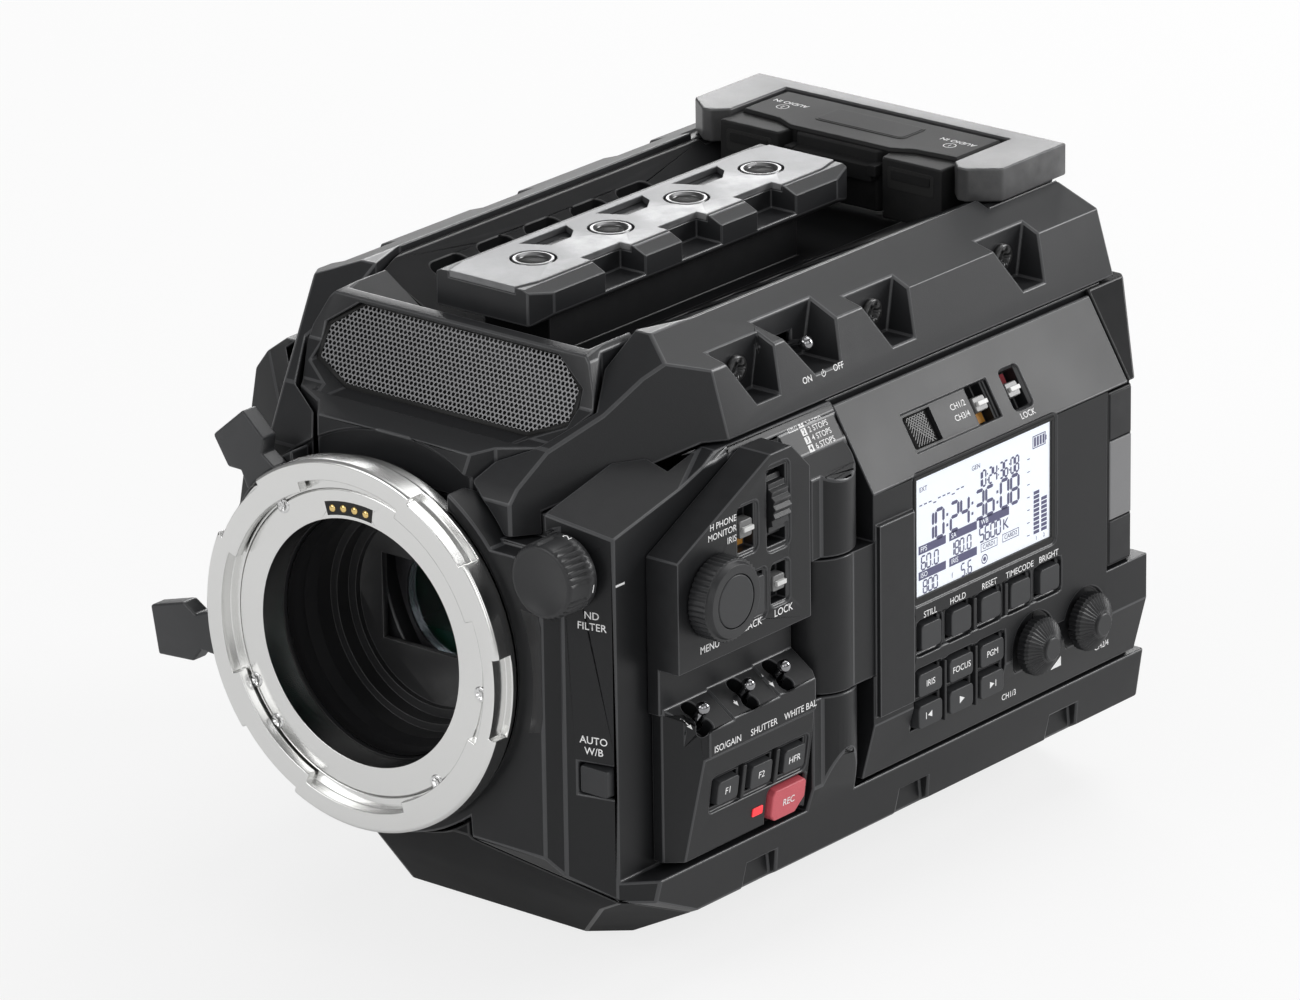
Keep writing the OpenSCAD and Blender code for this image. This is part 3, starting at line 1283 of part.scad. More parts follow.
channel_w = 4.6;
channel_tall = 3.8;
channel_travel = 2.2;
door_lock_y = 43.4;
facet_sink = 1.2;
mic_y = 10;
module on_facet(y, up) {
    translate([side_half - up * sin(facet_lean), y, bend_h + up * cos(facet_lean)]) rotate([0,
        -facet_lean, 0]) children();
}
knuckle_front = -hinge_reach;
module door() color("#2f3033") difference() {
    union() {
        intersection() {
            along_y(-door_front, door_rear_low, body_front_outline);
            span([door_in_half, -door_front, door_low_h], [side_half, door_rear_low, door_high_h]);
        }
        // Bracket that carries the door on its barrel
        along_z(bracket_low_h, bracket_high_h, [[hinge_x, -door_front + seam],
            [side_half + bracket_proud, -door_front + seam],
            [side_half + bracket_proud, bracket_rear - bracket_proud], [side_half, bracket_rear],
                [hinge_x, bracket_rear]]);
        round_z(hinge_r, barrel_low, barrel_high, hinge_x, -hinge_reach);
        span([hinge_x - seam, knuckle_front, barrel_low], [hinge_x + hinge_r * 0.96, -door_front + wall,
            barrel_high]);
    }
    round_z(pin_r + run_gap / 2, barrel_low - cut, barrel_high + cut, hinge_x, -hinge_reach);
    // Clearance round the fixed barrels
    for (z = [[0, barrel_low], [barrel_high, shoulder_h]])
        round_z(hinge_r + seam, z[0], z[1], hinge_x, -hinge_reach);
    // Notch for the fixed strip, and the shorter upper end
    span([door_in_half - cut, strip_front - seam, strip_low_h - seam], [side_half + cut,
        door_rear_low + cut, strip_high_h + seam]);
    span([door_in_half - cut, door_rear, strip_low_h - seam], [side_half + cut, door_rear_low + cut,
        big]);
    well_x(side_half, lcd_y, lcd_h, lcd_w, lcd_tall, lcd_deep + lcd_sink);
    span([door_in_half - cut, screen_y - screen_w / 2 - fit_gap, screen_h - screen_tall / 2 - fit_gap],
        [door_in_half + screen_t, screen_y + screen_w / 2 + fit_gap,
            screen_h + screen_tall / 2 + fit_gap]);
    for (i = [0:4]) well_x(side_half, row_first_y + i * row_pitch, row_h, row_key_w + key_gap * 2,
        row_key_tall + key_gap * 2, key_well_deep + pad_sink);
    well_x(side_half, row_first_y + row_pitch * 2, row_h, row_pitch * 4 + row_key_w + wall / 2,
        row_key_tall + wall / 2, pad_sink);
    for (i = [0:2]) for (j = [0, 1])
        well_x(side_half, pad_first_y + i * pad_pitch, pad_h[j], pad_key_w + key_gap * 2,
            pad_key_tall + key_gap * 2, key_well_deep + pad_sink);
    well_x(side_half, pad_first_y + pad_pitch, (pad_h[0] + pad_h[1]) / 2,
        pad_pitch * 2 + pad_key_w + wall / 2,
        pad_h[0] - pad_h[1] + pad_key_tall + wall / 2, pad_sink);
    for (y = level_y) round_x(level_shaft_r + run_gap, side_half - level_deep, side_half + cut, y,
        level_h);
    // Channel for the microphone and its slider, and the lock's slot
    on_facet((channel_y + mic_y) / 2, channel_up)
        well_x(0, 0, 0, channel_y - mic_y + channel_w * 1.6,
            channel_tall + channel_travel * 2 + key_gap * 2, facet_sink);
    on_facet(channel_y, channel_up)
        well_x(0, 0, 0, channel_w + key_gap * 2, channel_tall + channel_travel * 2 + key_gap * 2,
            facet_sink + slider_deep);
    on_facet(door_lock_y, channel_up)
        well_x(0, 0, 0, channel_w + key_gap * 2, channel_tall + channel_travel * 2 + key_gap * 2,
            facet_sink + slider_deep);
}
module door_display() color("#dfe6ee")
    span([side_half - lcd_deep - lcd_sink, lcd_y - lcd_w / 2 + run_gap, lcd_h - lcd_tall / 2 + run_gap],
        [side_half - lcd_sink, lcd_y + lcd_w / 2 - run_gap, lcd_h + lcd_tall / 2 - run_gap]);
module door_screen() color("#0d0f12")
    span([door_in_half, screen_y - screen_w / 2, screen_h - screen_tall / 2],
        [door_in_half + screen_t - run_gap, screen_y + screen_w / 2, screen_h + screen_tall / 2]);
module door_key(y, z, w, tall) {
    span([side_half - pad_sink + key_proud - key_deep, y - w / 2, z - tall / 2],
        [side_half - pad_sink + key_proud, y + w / 2, z + tall / 2]);
}
module row_key(i) color("#2a2b2e") door_key(row_first_y + i * row_pitch, row_h, row_key_w, row_key_tall);
module pad_key(i, j) color("#2a2b2e") door_key(pad_first_y + i * pad_pitch, pad_h[j], pad_key_w,
    pad_key_tall);
module key_still() row_key(0);
module key_hold() row_key(1);
module key_reset() row_key(2);
module key_timecode() row_key(3);
module key_bright() row_key(4);
module key_iris() pad_key(0, 0);
module key_focus() pad_key(1, 0);
module key_program() pad_key(2, 0);
module key_previous() pad_key(0, 1);
module key_play() pad_key(1, 1);
module key_next() pad_key(2, 1);
level_ribs = 30;
module level_knob(i) color("#1e1f21") {
    translate([side_half + fit_gap, level_y[i], level_h]) rotate([0, 90, 0]) knurled(level_r,
        level_t - seam * 2, level_ribs, rib_deep * 1.4);
    translate([side_half + fit_gap + level_t - seam * 2, level_y[i], level_h]) rotate([0, 90, 0])
        cylinder(h = seam * 2, r1 = level_r - rib_deep * 2, r2 = level_r * 0.72);
    round_x(level_shaft_r, side_half - level_deep + fit_gap, side_half + seam, level_y[i], level_h);
}
module level_knob_front() level_knob(0);
module level_knob_rear() level_knob(1);
module facet_slider(y) color("#d5d5d5") on_facet(y, channel_up) {
    span([-facet_sink - slider_deep + fit_gap, -channel_w / 2, -channel_tall / 2], [-facet_sink / 2,
        channel_w / 2, channel_tall / 2]);
    span([-facet_sink, -channel_w / 2 + seam, -channel_tall / 6], [slider_proud / 2,
        channel_w / 2 - seam, channel_tall / 6]);
}
module channel_slider() facet_slider(channel_y);
module door_lock() facet_slider(door_lock_y);

module beyond(point, turn, lean, off = 0) {
    translate(point) rotate([0, -lean, turn]) translate([off, -big / 2, -big / 2]) cube(big);
}
module lower_corners(off = 0) {
    beyond(belly_corner, belly_corner_turn, belly_corner_lean, off);
    mirror([1, 0, 0]) beyond(far_belly_corner, far_belly_turn, far_belly_lean, off);
}
function pan_outline(g) = mirrored([[0, -g - cut], [pan_low_half + g, -g - cut], [pan_low_half + g,
    pan_side_h - seam],
    [pan_side_half + g, pan_side_h + g], [pan_chin_half + g, pan_chin_h + g], [pan_top_half + g,
        pan_top_h]]);
function foot_plan(g) = mirrored([[foot_half - foot_corner + g, -foot_front - g], [foot_half + g,
    -foot_front + foot_corner - g],
    [foot_half + g, foot_rear - foot_corner + g], [foot_half - foot_corner + g, foot_rear + g]]);
main_housing();
top_cover();
front_panel();
top_tray();
front_grille();
control_panel();
hinge_pin();
base_cover();
foot_plate();
rear_cover();
audio_block();
audio_cover();
top_rail();
rail_plate();
rail_inserts();
lens_flange();
throat_tube();
sensor_module();
heat_sink();
main_board();
lock_ring();
lock_levers();
nd_knob();
nd_idler();
nd_turret();
nd_filters();
fan_rotor();
door();
door_display();
door_screen();
menu_dial();
menu_button();
back_button();
gain_wheel();
mode_slider();
panel_lock();
toggle_gain();
toggle_shutter();
toggle_white();
power_toggle();
key_one();
key_two();
key_rate();
record_key();
balance_key();
key_still();
key_hold();
key_reset();
key_timecode();
key_bright();
key_iris();
key_focus();
key_program();
key_previous();
key_play();
key_next();
level_knob_front();
level_knob_rear();
channel_slider();
door_lock();
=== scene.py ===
# %% [markdown]
# # Dressing a digital cinema camera
#
# The engineering model of this camera is finished before this lesson starts. It comes in as a fixed
# frame: every cover, key and knob sits where the drawing puts it, and the joints already work. What it
# lacks is everything that the eye reads as real: the soft light along an edge, powdery paint, turned
# steel, printed legends, screws and the fine mesh over the fan. This file adds those, piece by piece.

# %% Load the frame
import json
import math

import bmesh
import bpy
from mathutils import Matrix, Vector

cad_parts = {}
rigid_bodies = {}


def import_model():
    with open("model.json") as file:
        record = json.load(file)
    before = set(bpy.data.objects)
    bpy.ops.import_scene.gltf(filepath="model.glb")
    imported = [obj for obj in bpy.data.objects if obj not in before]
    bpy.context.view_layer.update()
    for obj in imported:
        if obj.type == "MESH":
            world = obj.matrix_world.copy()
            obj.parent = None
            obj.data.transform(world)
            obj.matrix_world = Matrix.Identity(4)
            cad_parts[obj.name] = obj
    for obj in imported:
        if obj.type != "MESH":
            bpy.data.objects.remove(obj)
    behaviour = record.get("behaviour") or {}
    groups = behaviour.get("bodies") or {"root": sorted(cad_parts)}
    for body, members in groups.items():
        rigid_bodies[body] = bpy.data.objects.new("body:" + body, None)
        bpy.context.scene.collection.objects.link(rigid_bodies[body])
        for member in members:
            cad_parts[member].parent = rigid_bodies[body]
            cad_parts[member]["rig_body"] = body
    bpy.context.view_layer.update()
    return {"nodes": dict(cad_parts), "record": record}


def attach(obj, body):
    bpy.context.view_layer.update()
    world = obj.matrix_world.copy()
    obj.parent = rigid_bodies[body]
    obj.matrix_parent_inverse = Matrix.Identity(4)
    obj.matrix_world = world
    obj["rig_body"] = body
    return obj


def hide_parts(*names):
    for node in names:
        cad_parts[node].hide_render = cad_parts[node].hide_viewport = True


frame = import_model()
nodes = frame["nodes"]
slot_of = {part["node"]: part["material_slot"] for part in frame["record"]["subparts"]}
MM = 0.001
print("nodes in the frame:", len(nodes))

# %% [markdown]
# ## The camera that looks at the camera
#
# The photograph was taken from the operator's side, a little above, with a long lens. Three axes and a
# place say where the view stands. They could be found by moving the view about until it looks right. It
# is surer to solve them from edges that are parallel on the real object, which was done here.

# %% Place the view
VIEW_RIGHT = Vector((0.77266, 0.63468, -0.01358))
VIEW_UP = Vector((-0.20928, 0.27486, 0.93843))
VIEW_BACK = Vector((0.59934, -0.72224, 0.34520))
VIEW_PLACE = Vector((1.10254, -1.32885, 0.70997))
FOCAL_LENGTH = 236.9
SENSOR_WIDTH = 36


def place_view():
    data = bpy.data.cameras.new("view")
    data.lens = FOCAL_LENGTH
    data.sensor_width = SENSOR_WIDTH
    data.sensor_fit = "HORIZONTAL"
    data.clip_start = 0.1
    data.clip_end = 20
    view = bpy.data.objects.new("view", data)
    turn = Matrix((VIEW_RIGHT, VIEW_UP, VIEW_BACK)).transposed().to_4x4()
    view.matrix_world = Matrix.Translation(VIEW_PLACE) @ turn
    bpy.context.scene.collection.objects.link(view)
    bpy.context.scene.camera = view


place_view()
print("the view stands", round(VIEW_PLACE.length, 2), "m from the tripod socket")

# %% [markdown]
# ## Building with nodes
#
# Light, floor and finishes are all built from shader nodes. Making, setting and linking each one by hand
# would take most of this lesson, so one small function does all three. A socket that is given a number
# or a colour keeps it, and a socket that is given another node's output is linked to it.

# %% Small helpers for nodes
def add_node(tree, kind, sockets, **settings):
    made = tree.nodes.new(kind)
    for label, value in settings.items():
        setattr(made, label, value)
    for label, value in sockets.items():
        if isinstance(value, bpy.types.NodeSocket):
            tree.links.new(value, made.inputs[label])
        else:
            made.inputs[label].default_value = value
    return made


def sum_node(tree, operation, first, second):
    return add_node(tree, "ShaderNodeMath", {0: first, 1: second}, operation=operation).outputs[0]


def vector_node(tree, operation, sockets):
    return add_node(tree, "ShaderNodeVectorMath", sockets, operation=operation)


print("node helpers are ready")

# %% [markdown]
# ## Light and floor
#
# A studio shot of a dark object is drawn by its highlights. One lamp would leave half of it black, and an
# evenly bright world would leave no highlights at all. So large soft lamps stand behind, where their light
# grazes the top and the door's slope, and weaker ones stand above, in front and beside the operator, so
# that the keys stay readable.

# %% Lamps
CENTRE = Vector((0, 0, 0.07))
LAMPS = [
    ("lamp_up_rear", (0.122, 0.856, 1.416), (0.9, 0.9), 7),
    ("lamp_far_rear", (-0.96, 1.152, 0.63), (0.7, 0.5), 7),
    ("lamp_near_rear", (0.932, 1.157, 0.664), (0.6, 0.6), 13),
    ("lamp_operator", (1.401, -0.327, 0.77), (0.9, 0.9), 3),
    ("lamp_front", (-0.459, -1.336, 0.822), (1.0, 0.9), 8),
    ("lamp_top", (0.1, -0.1, 1.664), (1.1, 1.1), 3),
    ("lamp_front_right", (0.814, -1.266, 0.613), (0.8, 0.8), 3),
]
for name, place, size, watts in LAMPS:
    data = bpy.data.lights.new(name, "AREA")
    data.shape = "RECTANGLE"
    data.size, data.size_y = size
    data.energy = watts
    piece = bpy.data.objects.new(name, data)
    piece.location = place
    piece.rotation_euler = (CENTRE - Vector(place)).to_track_quat("-Z", "Y").to_euler()
    bpy.context.scene.collection.objects.link(piece)
print("lamps:", len(LAMPS))

# %% [markdown]
# The photograph has a white background. A white world would do that, but it would also light the object
# from all sides. So the world is white only to the camera and through glass, weak in reflections, and
# weaker still as a light. The floor does the same, and it still takes the camera's soft shadow.

# %% World and floor
WHITE = (1, 1, 1, 1)
FILL_LIGHT = 0.13
WORLD_MIRRORED = 0.12
FLOOR_GLOW = 0.8
FLOOR_MIRRORED = 0.35
FLOOR_HALF = 6
FLOOR_DROP = 0.0004


def background_mask(tree, mirrored_share):
    """1 where a ray from the camera or through glass looks, a share of it where a reflection looks."""
    path = tree.nodes.new("ShaderNodeLightPath").outputs
    mirrored = sum_node(tree, "MULTIPLY", path["Is Glossy Ray"], mirrored_share)
    seen = sum_node(tree, "MAXIMUM", path["Is Camera Ray"], path["Is Transmission Ray"])
    return sum_node(tree, "MAXIMUM", seen, mirrored)


def make_world():
    world = bpy.data.worlds.new("studio")
    world.use_nodes = True
    tree = world.node_tree
    tree.nodes.clear()
    seen = add_node(tree, "ShaderNodeBackground", {"Color": WHITE, "Strength": 1})
    fill = add_node(tree, "ShaderNodeBackground", {"Color": WHITE, "Strength": FILL_LIGHT})
    mask = background_mask(tree, WORLD_MIRRORED)
    mix = add_node(tree, "ShaderNodeMixShader", {"Fac": mask, 1: fill.outputs[0], 2: seen.outputs[0]})
    add_node(tree, "ShaderNodeOutputWorld", {"Surface": mix.outputs[0]})
    bpy.context.scene.world = world


def make_floor():
    mesh = bpy.data.meshes.new("floor")
    half = FLOOR_HALF
    corners = [(-half, -half, 0), (half, -half, 0), (half, half, 0), (-half, half, 0)]
    mesh.from_pydata(corners, [], [(0, 1, 2, 3)])
    floor = bpy.data.objects.new("floor", mesh)
    floor.location = (0, 0, -FLOOR_DROP)
    bpy.context.scene.collection.objects.link(floor)
    material = bpy.data.materials.new("pale_floor")
    material.use_nodes = True
    tree = material.node_tree
    paint = tree.nodes["Principled BSDF"]
    paint.inputs["Base Color"].default_value = (0.86, 0.86, 0.86, 1)
    paint.inputs["Roughness"].default_value = 0.9
    glow = add_node(tree, "ShaderNodeEmission", {"Color": WHITE})
    share = sum_node(tree, "MULTIPLY", background_mask(tree, FLOOR_MIRRORED), FLOOR_GLOW)
    mix = add_node(tree, "ShaderNodeMixShader", {"Fac": share, 1: paint.outputs[0], 2: glow.outputs[0]})
    tree.links.new(mix.outputs[0], tree.nodes["Material Output"].inputs["Surface"])
    mesh.materials.append(material)


make_world()
make_floor()
bpy.context.scene.view_settings.view_transform = "Standard"
print("floor:", 2 * FLOOR_HALF, "m across, fill light", FILL_LIGHT)

# %% [markdown]
# ## Effects that several finishes share
#
# Paint, plastic and metal all have a fine grain, soft smudges and slightly lighter edges. Each of these
# is one node group with named sockets, built once. Every material then places the group with its own
# numbers, so a change to the effect reaches all of them.

# %% The functions behind every group
PER_METRE = 1000


def new_group(name, inputs, outputs):
    group = bpy.data.node_groups.new(name, "ShaderNodeTree")
    for label, kind, value in inputs:
        made = group.interface.new_socket(label, in_out="INPUT", socket_type="NodeSocket" + kind)
        made.default_value = value
    for label, kind in outputs:
        group.interface.new_socket(label, in_out="OUTPUT", socket_type="NodeSocket" + kind)
    given = group.nodes.new("NodeGroupInput").outputs
    return group, given, group.nodes.new("NodeGroupOutput").inputs


def object_place(group):
    """Places in the object's own space, so that a pattern moves with a moving piece."""
    return group.nodes.new("ShaderNodeTexCoord").outputs["Object"]


def noise(group, vector, sockets):
    return add_node(group, "ShaderNodeTexNoise", {"Vector": vector, **sockets}).outputs["Fac"]


print("a noise of size 1 mm has the scale", PER_METRE)


# %% [markdown]
# Grain is a fine noise in real millimetres. It puts out a height for a Bump node, and a tint that makes
# the colour a touch uneven, as sprayed powder is.

# %% Grain
def make_grain_group():
    group, given, result = new_group(
        "fine_grain", [("Size mm", "Float", 0.4), ("Tint", "Float", 0.1)],
        [("Height", "Float"), ("Shade", "Float")])
    scale = sum_node(group, "DIVIDE", PER_METRE, given["Size mm"])
    height = noise(group, object_place(group), {"Detail": 3, "Roughness": 0.6, "Scale": scale})
    tinted = sum_node(group, "MULTIPLY", sum_node(group, "SUBTRACT", height, 0.5), given["Tint"])
    group.links.new(height, result["Height"])
    group.links.new(sum_node(group, "ADD", tinted, 1), result["Shade"])
    return group


grain_group = make_grain_group()
print(grain_group.name, "has", len(grain_group.nodes), "nodes")

# %% [markdown]
# Smudges are the slow variation of gloss that hands leave. The group gives a roughness that wanders
# around a base value.

# %% Smudges
def make_smudge_group():
    group, given, result = new_group(
        "soft_smudges", [("Base", "Float", 0.5), ("Spread", "Float", 0.08), ("Size mm", "Float", 22)],
        [("Roughness", "Float")])
    scale = sum_node(group, "DIVIDE", PER_METRE, given["Size mm"])
    waves = noise(group, object_place(group), {"Detail": 5, "Scale": scale})
    spread = sum_node(group, "MULTIPLY", sum_node(group, "SUBTRACT", waves, 0.5), given["Spread"])
    wide = sum_node(group, "MULTIPLY", spread, 2)
    group.links.new(sum_node(group, "ADD", wide, given["Base"]), result["Roughness"])
    return group


smudge_group = make_smudge_group()
print(smudge_group.name, "has", len(smudge_group.nodes), "nodes")

# %% [markdown]
# Edges look lighter, partly as wear where paint is thin and fingers polish it, and partly as a painted
# highlight where a rounded edge would catch the light. Pointiness tells how sharp the surface is at a
# point, and a ramp turns that into a mask.

# %% Worn edges and painted edge highlights
def make_edge_group():
    group, given, result = new_group(
        "edge_wear_and_highlight", [("Colour", "Color", (0.1, 0.1, 0.1, 1)), ("Edge colour", "Color", (0.2, 0.2, 0.2, 1)),
                      ("Amount", "Float", 0.5)],
        [("Colour", "Color")])
    pointed = group.nodes.new("ShaderNodeNewGeometry").outputs["Pointiness"]
    ramp = add_node(group, "ShaderNodeMapRange", {"Value": pointed, "From Min": 0.52, "From Max": 0.62})
    flecks = noise(group, object_place(group), {"Scale": 260, "Detail": 4})
    mask = sum_node(group, "MULTIPLY", sum_node(group, "MULTIPLY", ramp.outputs[0], flecks),
                    given["Amount"])
    mix = add_node(group, "ShaderNodeMix",
                   {"Factor": mask, "A": given["Colour"], "B": given["Edge colour"]}, data_type="RGBA")
    group.links.new(mix.outputs["Result"], result["Colour"])
    return group


edge_group = make_edge_group()
print(edge_group.name, "has", len(edge_group.nodes), "nodes")

# %% [markdown]
# Turned metal carries the cutting tool's rings round its axis. A regular wave would look printed, so the
# rings are a noise of one value: the distance from that axis.

# %% Turned rings
def make_turned_group():
    group, given, result = new_group(
        "turned_rings", [("Pitch mm", "Float", 0.25), ("Axis place", "Vector", (0, 0, 0.071))],
        [("Height", "Float")])
    offset = vector_node(group, "SUBTRACT", {0: object_place(group), 1: given["Axis place"]})
    flat = vector_node(group, "MULTIPLY", {0: offset.outputs[0], 1: (1, 0.35, 1)})
    length = vector_node(group, "LENGTH", {0: flat.outputs[0]}).outputs["Value"]
    pitch = sum_node(group, "DIVIDE", PER_METRE, given["Pitch mm"])
    along = sum_node(group, "MULTIPLY", length, pitch)
    line = add_node(group, "ShaderNodeTexNoise", {"Scale": 1, "Detail": 2, "W": along},
                    noise_dimensions="1D")
    group.links.new(line.outputs["Fac"], result["Height"])
    return group


turned_group = make_turned_group()
print(turned_group.name, "has", len(turned_group.nodes), "nodes")

# %% [markdown]
# Brushed metal has short straight scratches along one direction: a noise that is stretched that way.

# %% Brushed lines
def make_brushed_group():
    group, given, result = new_group(
        "brushed_lines", [("Stretch", "Vector", (1, 0.03, 1)), ("Size mm", "Float", 0.2)],
        [("Height", "Float")])
    drawn = vector_node(group, "MULTIPLY", {0: object_place(group), 1: given["Stretch"]})
    scale = sum_node(group, "DIVIDE", PER_METRE, given["Size mm"])
    group.links.new(noise(group, drawn.outputs[0], {"Detail": 2, "Scale": scale}), result["Height"])
    return group


brushed_group = make_brushed_group()
print("node groups:", [g.name for g in bpy.data.node_groups])

# %% [markdown]
# ## Finishes
#
# One function builds an opaque finish from the groups above. The Principled shader stays in the material,
# and numbers that are the same all over sit on its own sockets.

# %% The function behind every opaque finish
def place_group(tree, group, **values):
    made = tree.nodes.new("ShaderNodeGroup")
    made.node_tree = group
    for label, value in values.items():
        made.inputs[label.replace("_", " ")].default_value = value
    return made


GRAIN_HEIGHT = 0.00004
LINE_HEIGHT = 0.00003
finishes = {}


def finish(name, colour, roughness, metallic=0.0, edge=None, edge_amount=0.0, spread=0.06, grain_mm=0.35,
           grain=0.2, tint=0.25, coat=0.0, lines=None, lines_strength=0.05, shine=0.5, turned_by=0.0):
    material = bpy.data.materials.new(name)
    material.use_nodes = True
    tree = material.node_tree
    shader = tree.nodes["Principled BSDF"].inputs
    shader["Metallic"].default_value = metallic
    shader["Specular IOR Level"].default_value = shine
    shader["Coat Weight"].default_value = coat
    shader["Coat Roughness"].default_value = 0.25
    fine = place_group(tree, grain_group, Size_mm=grain_mm, Tint=tint)
    # The edge colour goes on sharp edges: partly wear, partly a painted highlight.
    wear_and_highlight = place_group(tree, edge_group, Colour=(*colour, 1), Edge_colour=(*(edge or colour), 1),
                       Amount=edge_amount)
    shaded = vector_node(tree, "SCALE", {0: wear_and_highlight.outputs["Colour"], "Scale": fine.outputs["Shade"]})
    tree.links.new(shaded.outputs[0], shader["Base Color"])
    smudge = place_group(tree, smudge_group, Base=roughness, Spread=spread)
    tree.links.new(smudge.outputs["Roughness"], shader["Roughness"])
    bump = add_node(tree, "ShaderNodeBump", {
        "Strength": grain, "Distance": GRAIN_HEIGHT, "Height": fine.outputs["Height"]})
    if lines:
        bump = add_node(tree, "ShaderNodeBump", {
            "Strength": lines_strength, "Distance": LINE_HEIGHT, "Height": lines(tree).outputs["Height"],
            "Normal": bump.outputs["Normal"]})
    tree.links.new(bump.outputs["Normal"], shader["Normal"])
    if turned_by:
        round_axis = add_node(tree, "ShaderNodeTangent", {}, direction_type="RADIAL", axis="Y")
        shader["Anisotropic"].default_value = turned_by
        tree.links.new(round_axis.outputs["Tangent"], shader["Tangent"])
    finishes[name] = material
    return material


print("grain is", GRAIN_HEIGHT / MM, "mm high, turned and brushed lines", LINE_HEIGHT / MM, "mm")


# %% [markdown]
# The painted castings are a dark, slightly blue grey with a powdery grain, and the top cover is a touch
# lighter. The pan and the tray are darker, the rail's top plate is brushed aluminium, and the lens mount
# is turned stainless steel, whose highlights stretch across the cutting marks. Black paint reflects
# little face on and a lot at a grazing angle, so the paints have a low base colour and a modest shine.

# %% Paint and metal of the outside
def turned(tree):
    return place_group(tree, turned_group, Pitch_mm=0.3)


def brushed_along(tree):
    return place_group(tree, brushed_group, Stretch=(1, 0.04, 1), Size_mm=0.16)


finish("body_paint", (0.012, 0.0124, 0.0135), 0.40, shine=0.3, edge=(0.10, 0.10, 0.105), edge_amount=0.3,
       grain_mm=0.3, grain=0.35)
finish("cover_paint", (0.017, 0.0175, 0.019), 0.40, shine=0.35, edge=(0.12, 0.12, 0.125), edge_amount=0.3,
       grain_mm=0.3, grain=0.45)
finish("dark_paint", (0.008, 0.0082, 0.009), 0.62, edge=(0.05, 0.05, 0.052), edge_amount=0.6, grain_mm=0.35,
       grain=0.35, shine=0.12)
finish("grille_metal", (0.05, 0.05, 0.052), 0.35, metallic=0.6, edge=(0.3, 0.3, 0.3), edge_amount=0.6,
       grain=0.1)
finish("bright_rail", (0.12, 0.122, 0.126), 0.42, metallic=0.5, shine=0.3, grain=0.1, lines=brushed_along,
       lines_strength=0.2, edge=(0.85, 0.85, 0.86), edge_amount=0.5)
finish("insert_steel", (0.16, 0.16, 0.162), 0.28, metallic=1, grain=0.06)
finish("mount_steel", (0.80, 0.80, 0.79), 0.2, metallic=1, grain=0.03, lines=turned, lines_strength=0.16,
       spread=0.05, tint=0.06, turned_by=0.75)
finish("throat_black", (0.012, 0.012, 0.013), 0.38, edge=(0.2, 0.2, 0.2), edge_amount=0.7, grain=0.1)
finish("lever_black", (0.028, 0.029, 0.031), 0.34, edge=(0.1, 0.1, 0.105), edge_amount=0.6, grain=0.3)
print("finishes:", len(finishes))

# %% [markdown]
# Knobs and keys are moulded plastic, a little lighter and smoother than the paint, and the audio cover is
# dull rubber. What lies inside is seen only through the throat or with the door open, but it gets its own
# brass, board and cooler finish all the same.

# %% Plastic, rubber and the inside
finish("knob_plastic", (0.016, 0.0165, 0.018), 0.42, edge=(0.06, 0.06, 0.063), edge_amount=0.5, grain=0.2)
finish("key_plastic", (0.022, 0.023, 0.025), 0.46, edge=(0.08, 0.08, 0.085), edge_amount=0.4, grain=0.25)
finish("record_red", (0.62, 0.09, 0.115), 0.45, edge=(0.8, 0.25, 0.27), edge_amount=0.4, grain=0.15)
finish("switch_white", (0.72, 0.72, 0.71), 0.42, grain=0.1, tint=0.05)
finish("toggle_chrome", (0.30, 0.30, 0.31), 0.12, metallic=1, grain=0.0, tint=0.02, spread=0.03)
finish("screen_black", (0.01, 0.01, 0.012), 0.08, grain=0.0, tint=0.02, coat=0.6)
finish("audio_metal", (0.05, 0.05, 0.052), 0.42, metallic=0.35, edge=(0.6, 0.6, 0.6), edge_amount=0.5,
       grain_mm=0.25, grain=0.5)
finish("audio_rubber", (0.010, 0.010, 0.0105), 0.6, shine=0.2, edge=(0.07, 0.07, 0.07), edge_amount=0.4,
       grain_mm=0.25, grain=0.3)
finish("gear_brass", (0.72, 0.54, 0.25), 0.3, metallic=1, grain=0.1)
finish("turret_dark", (0.06, 0.06, 0.065), 0.38, metallic=0.7, grain=0.15)
finish("board_green", (0.02, 0.12, 0.06), 0.4, grain=0.1, coat=0.3)
finish("sink_metal", (0.56, 0.57, 0.58), 0.36, metallic=1, grain=0.2)
finish("fan_black", (0.02, 0.02, 0.021), 0.45, grain=0.15)
print("finishes:", len(finishes))

# %% [markdown]
# The last ones are for what this lesson adds: contact pins, screws, print, thumbs of the switches and the
# mesh. The three edge finishes are painted highlights for the bevels of the painted pieces.

# %% Small fittings, print and painted edge highlights
finish("pin_gold", (0.85, 0.62, 0.25), 0.2, metallic=1, grain=0.02)
finish("screw_black", (0.03, 0.03, 0.031), 0.3, metallic=0.7, edge=(0.25, 0.25, 0.25), edge_amount=0.6,
       grain=0.08)
finish("screw_steel", (0.75, 0.75, 0.75), 0.2, metallic=1, grain=0.03)
finish("print_white", (0.92, 0.92, 0.92), 0.6, grain=0.05, tint=0.06)
finish("print_dark", (0.02, 0.02, 0.022), 0.6, grain=0.05, tint=0.06)
finish("print_orange", (0.78, 0.36, 0.06), 0.55, grain=0.05, tint=0.06)
finish("lcd_ink", (0.10, 0.10, 0.20), 0.4, grain=0.02, tint=0.04)
finish("thumb_grey", (0.14, 0.14, 0.14), 0.4, metallic=0.2, edge=(0.7, 0.7, 0.7), edge_amount=0.5,
       grain=0.1)
finish("strip_grey", (0.20, 0.20, 0.205), 0.4, grain_mm=0.3, grain=0.3)
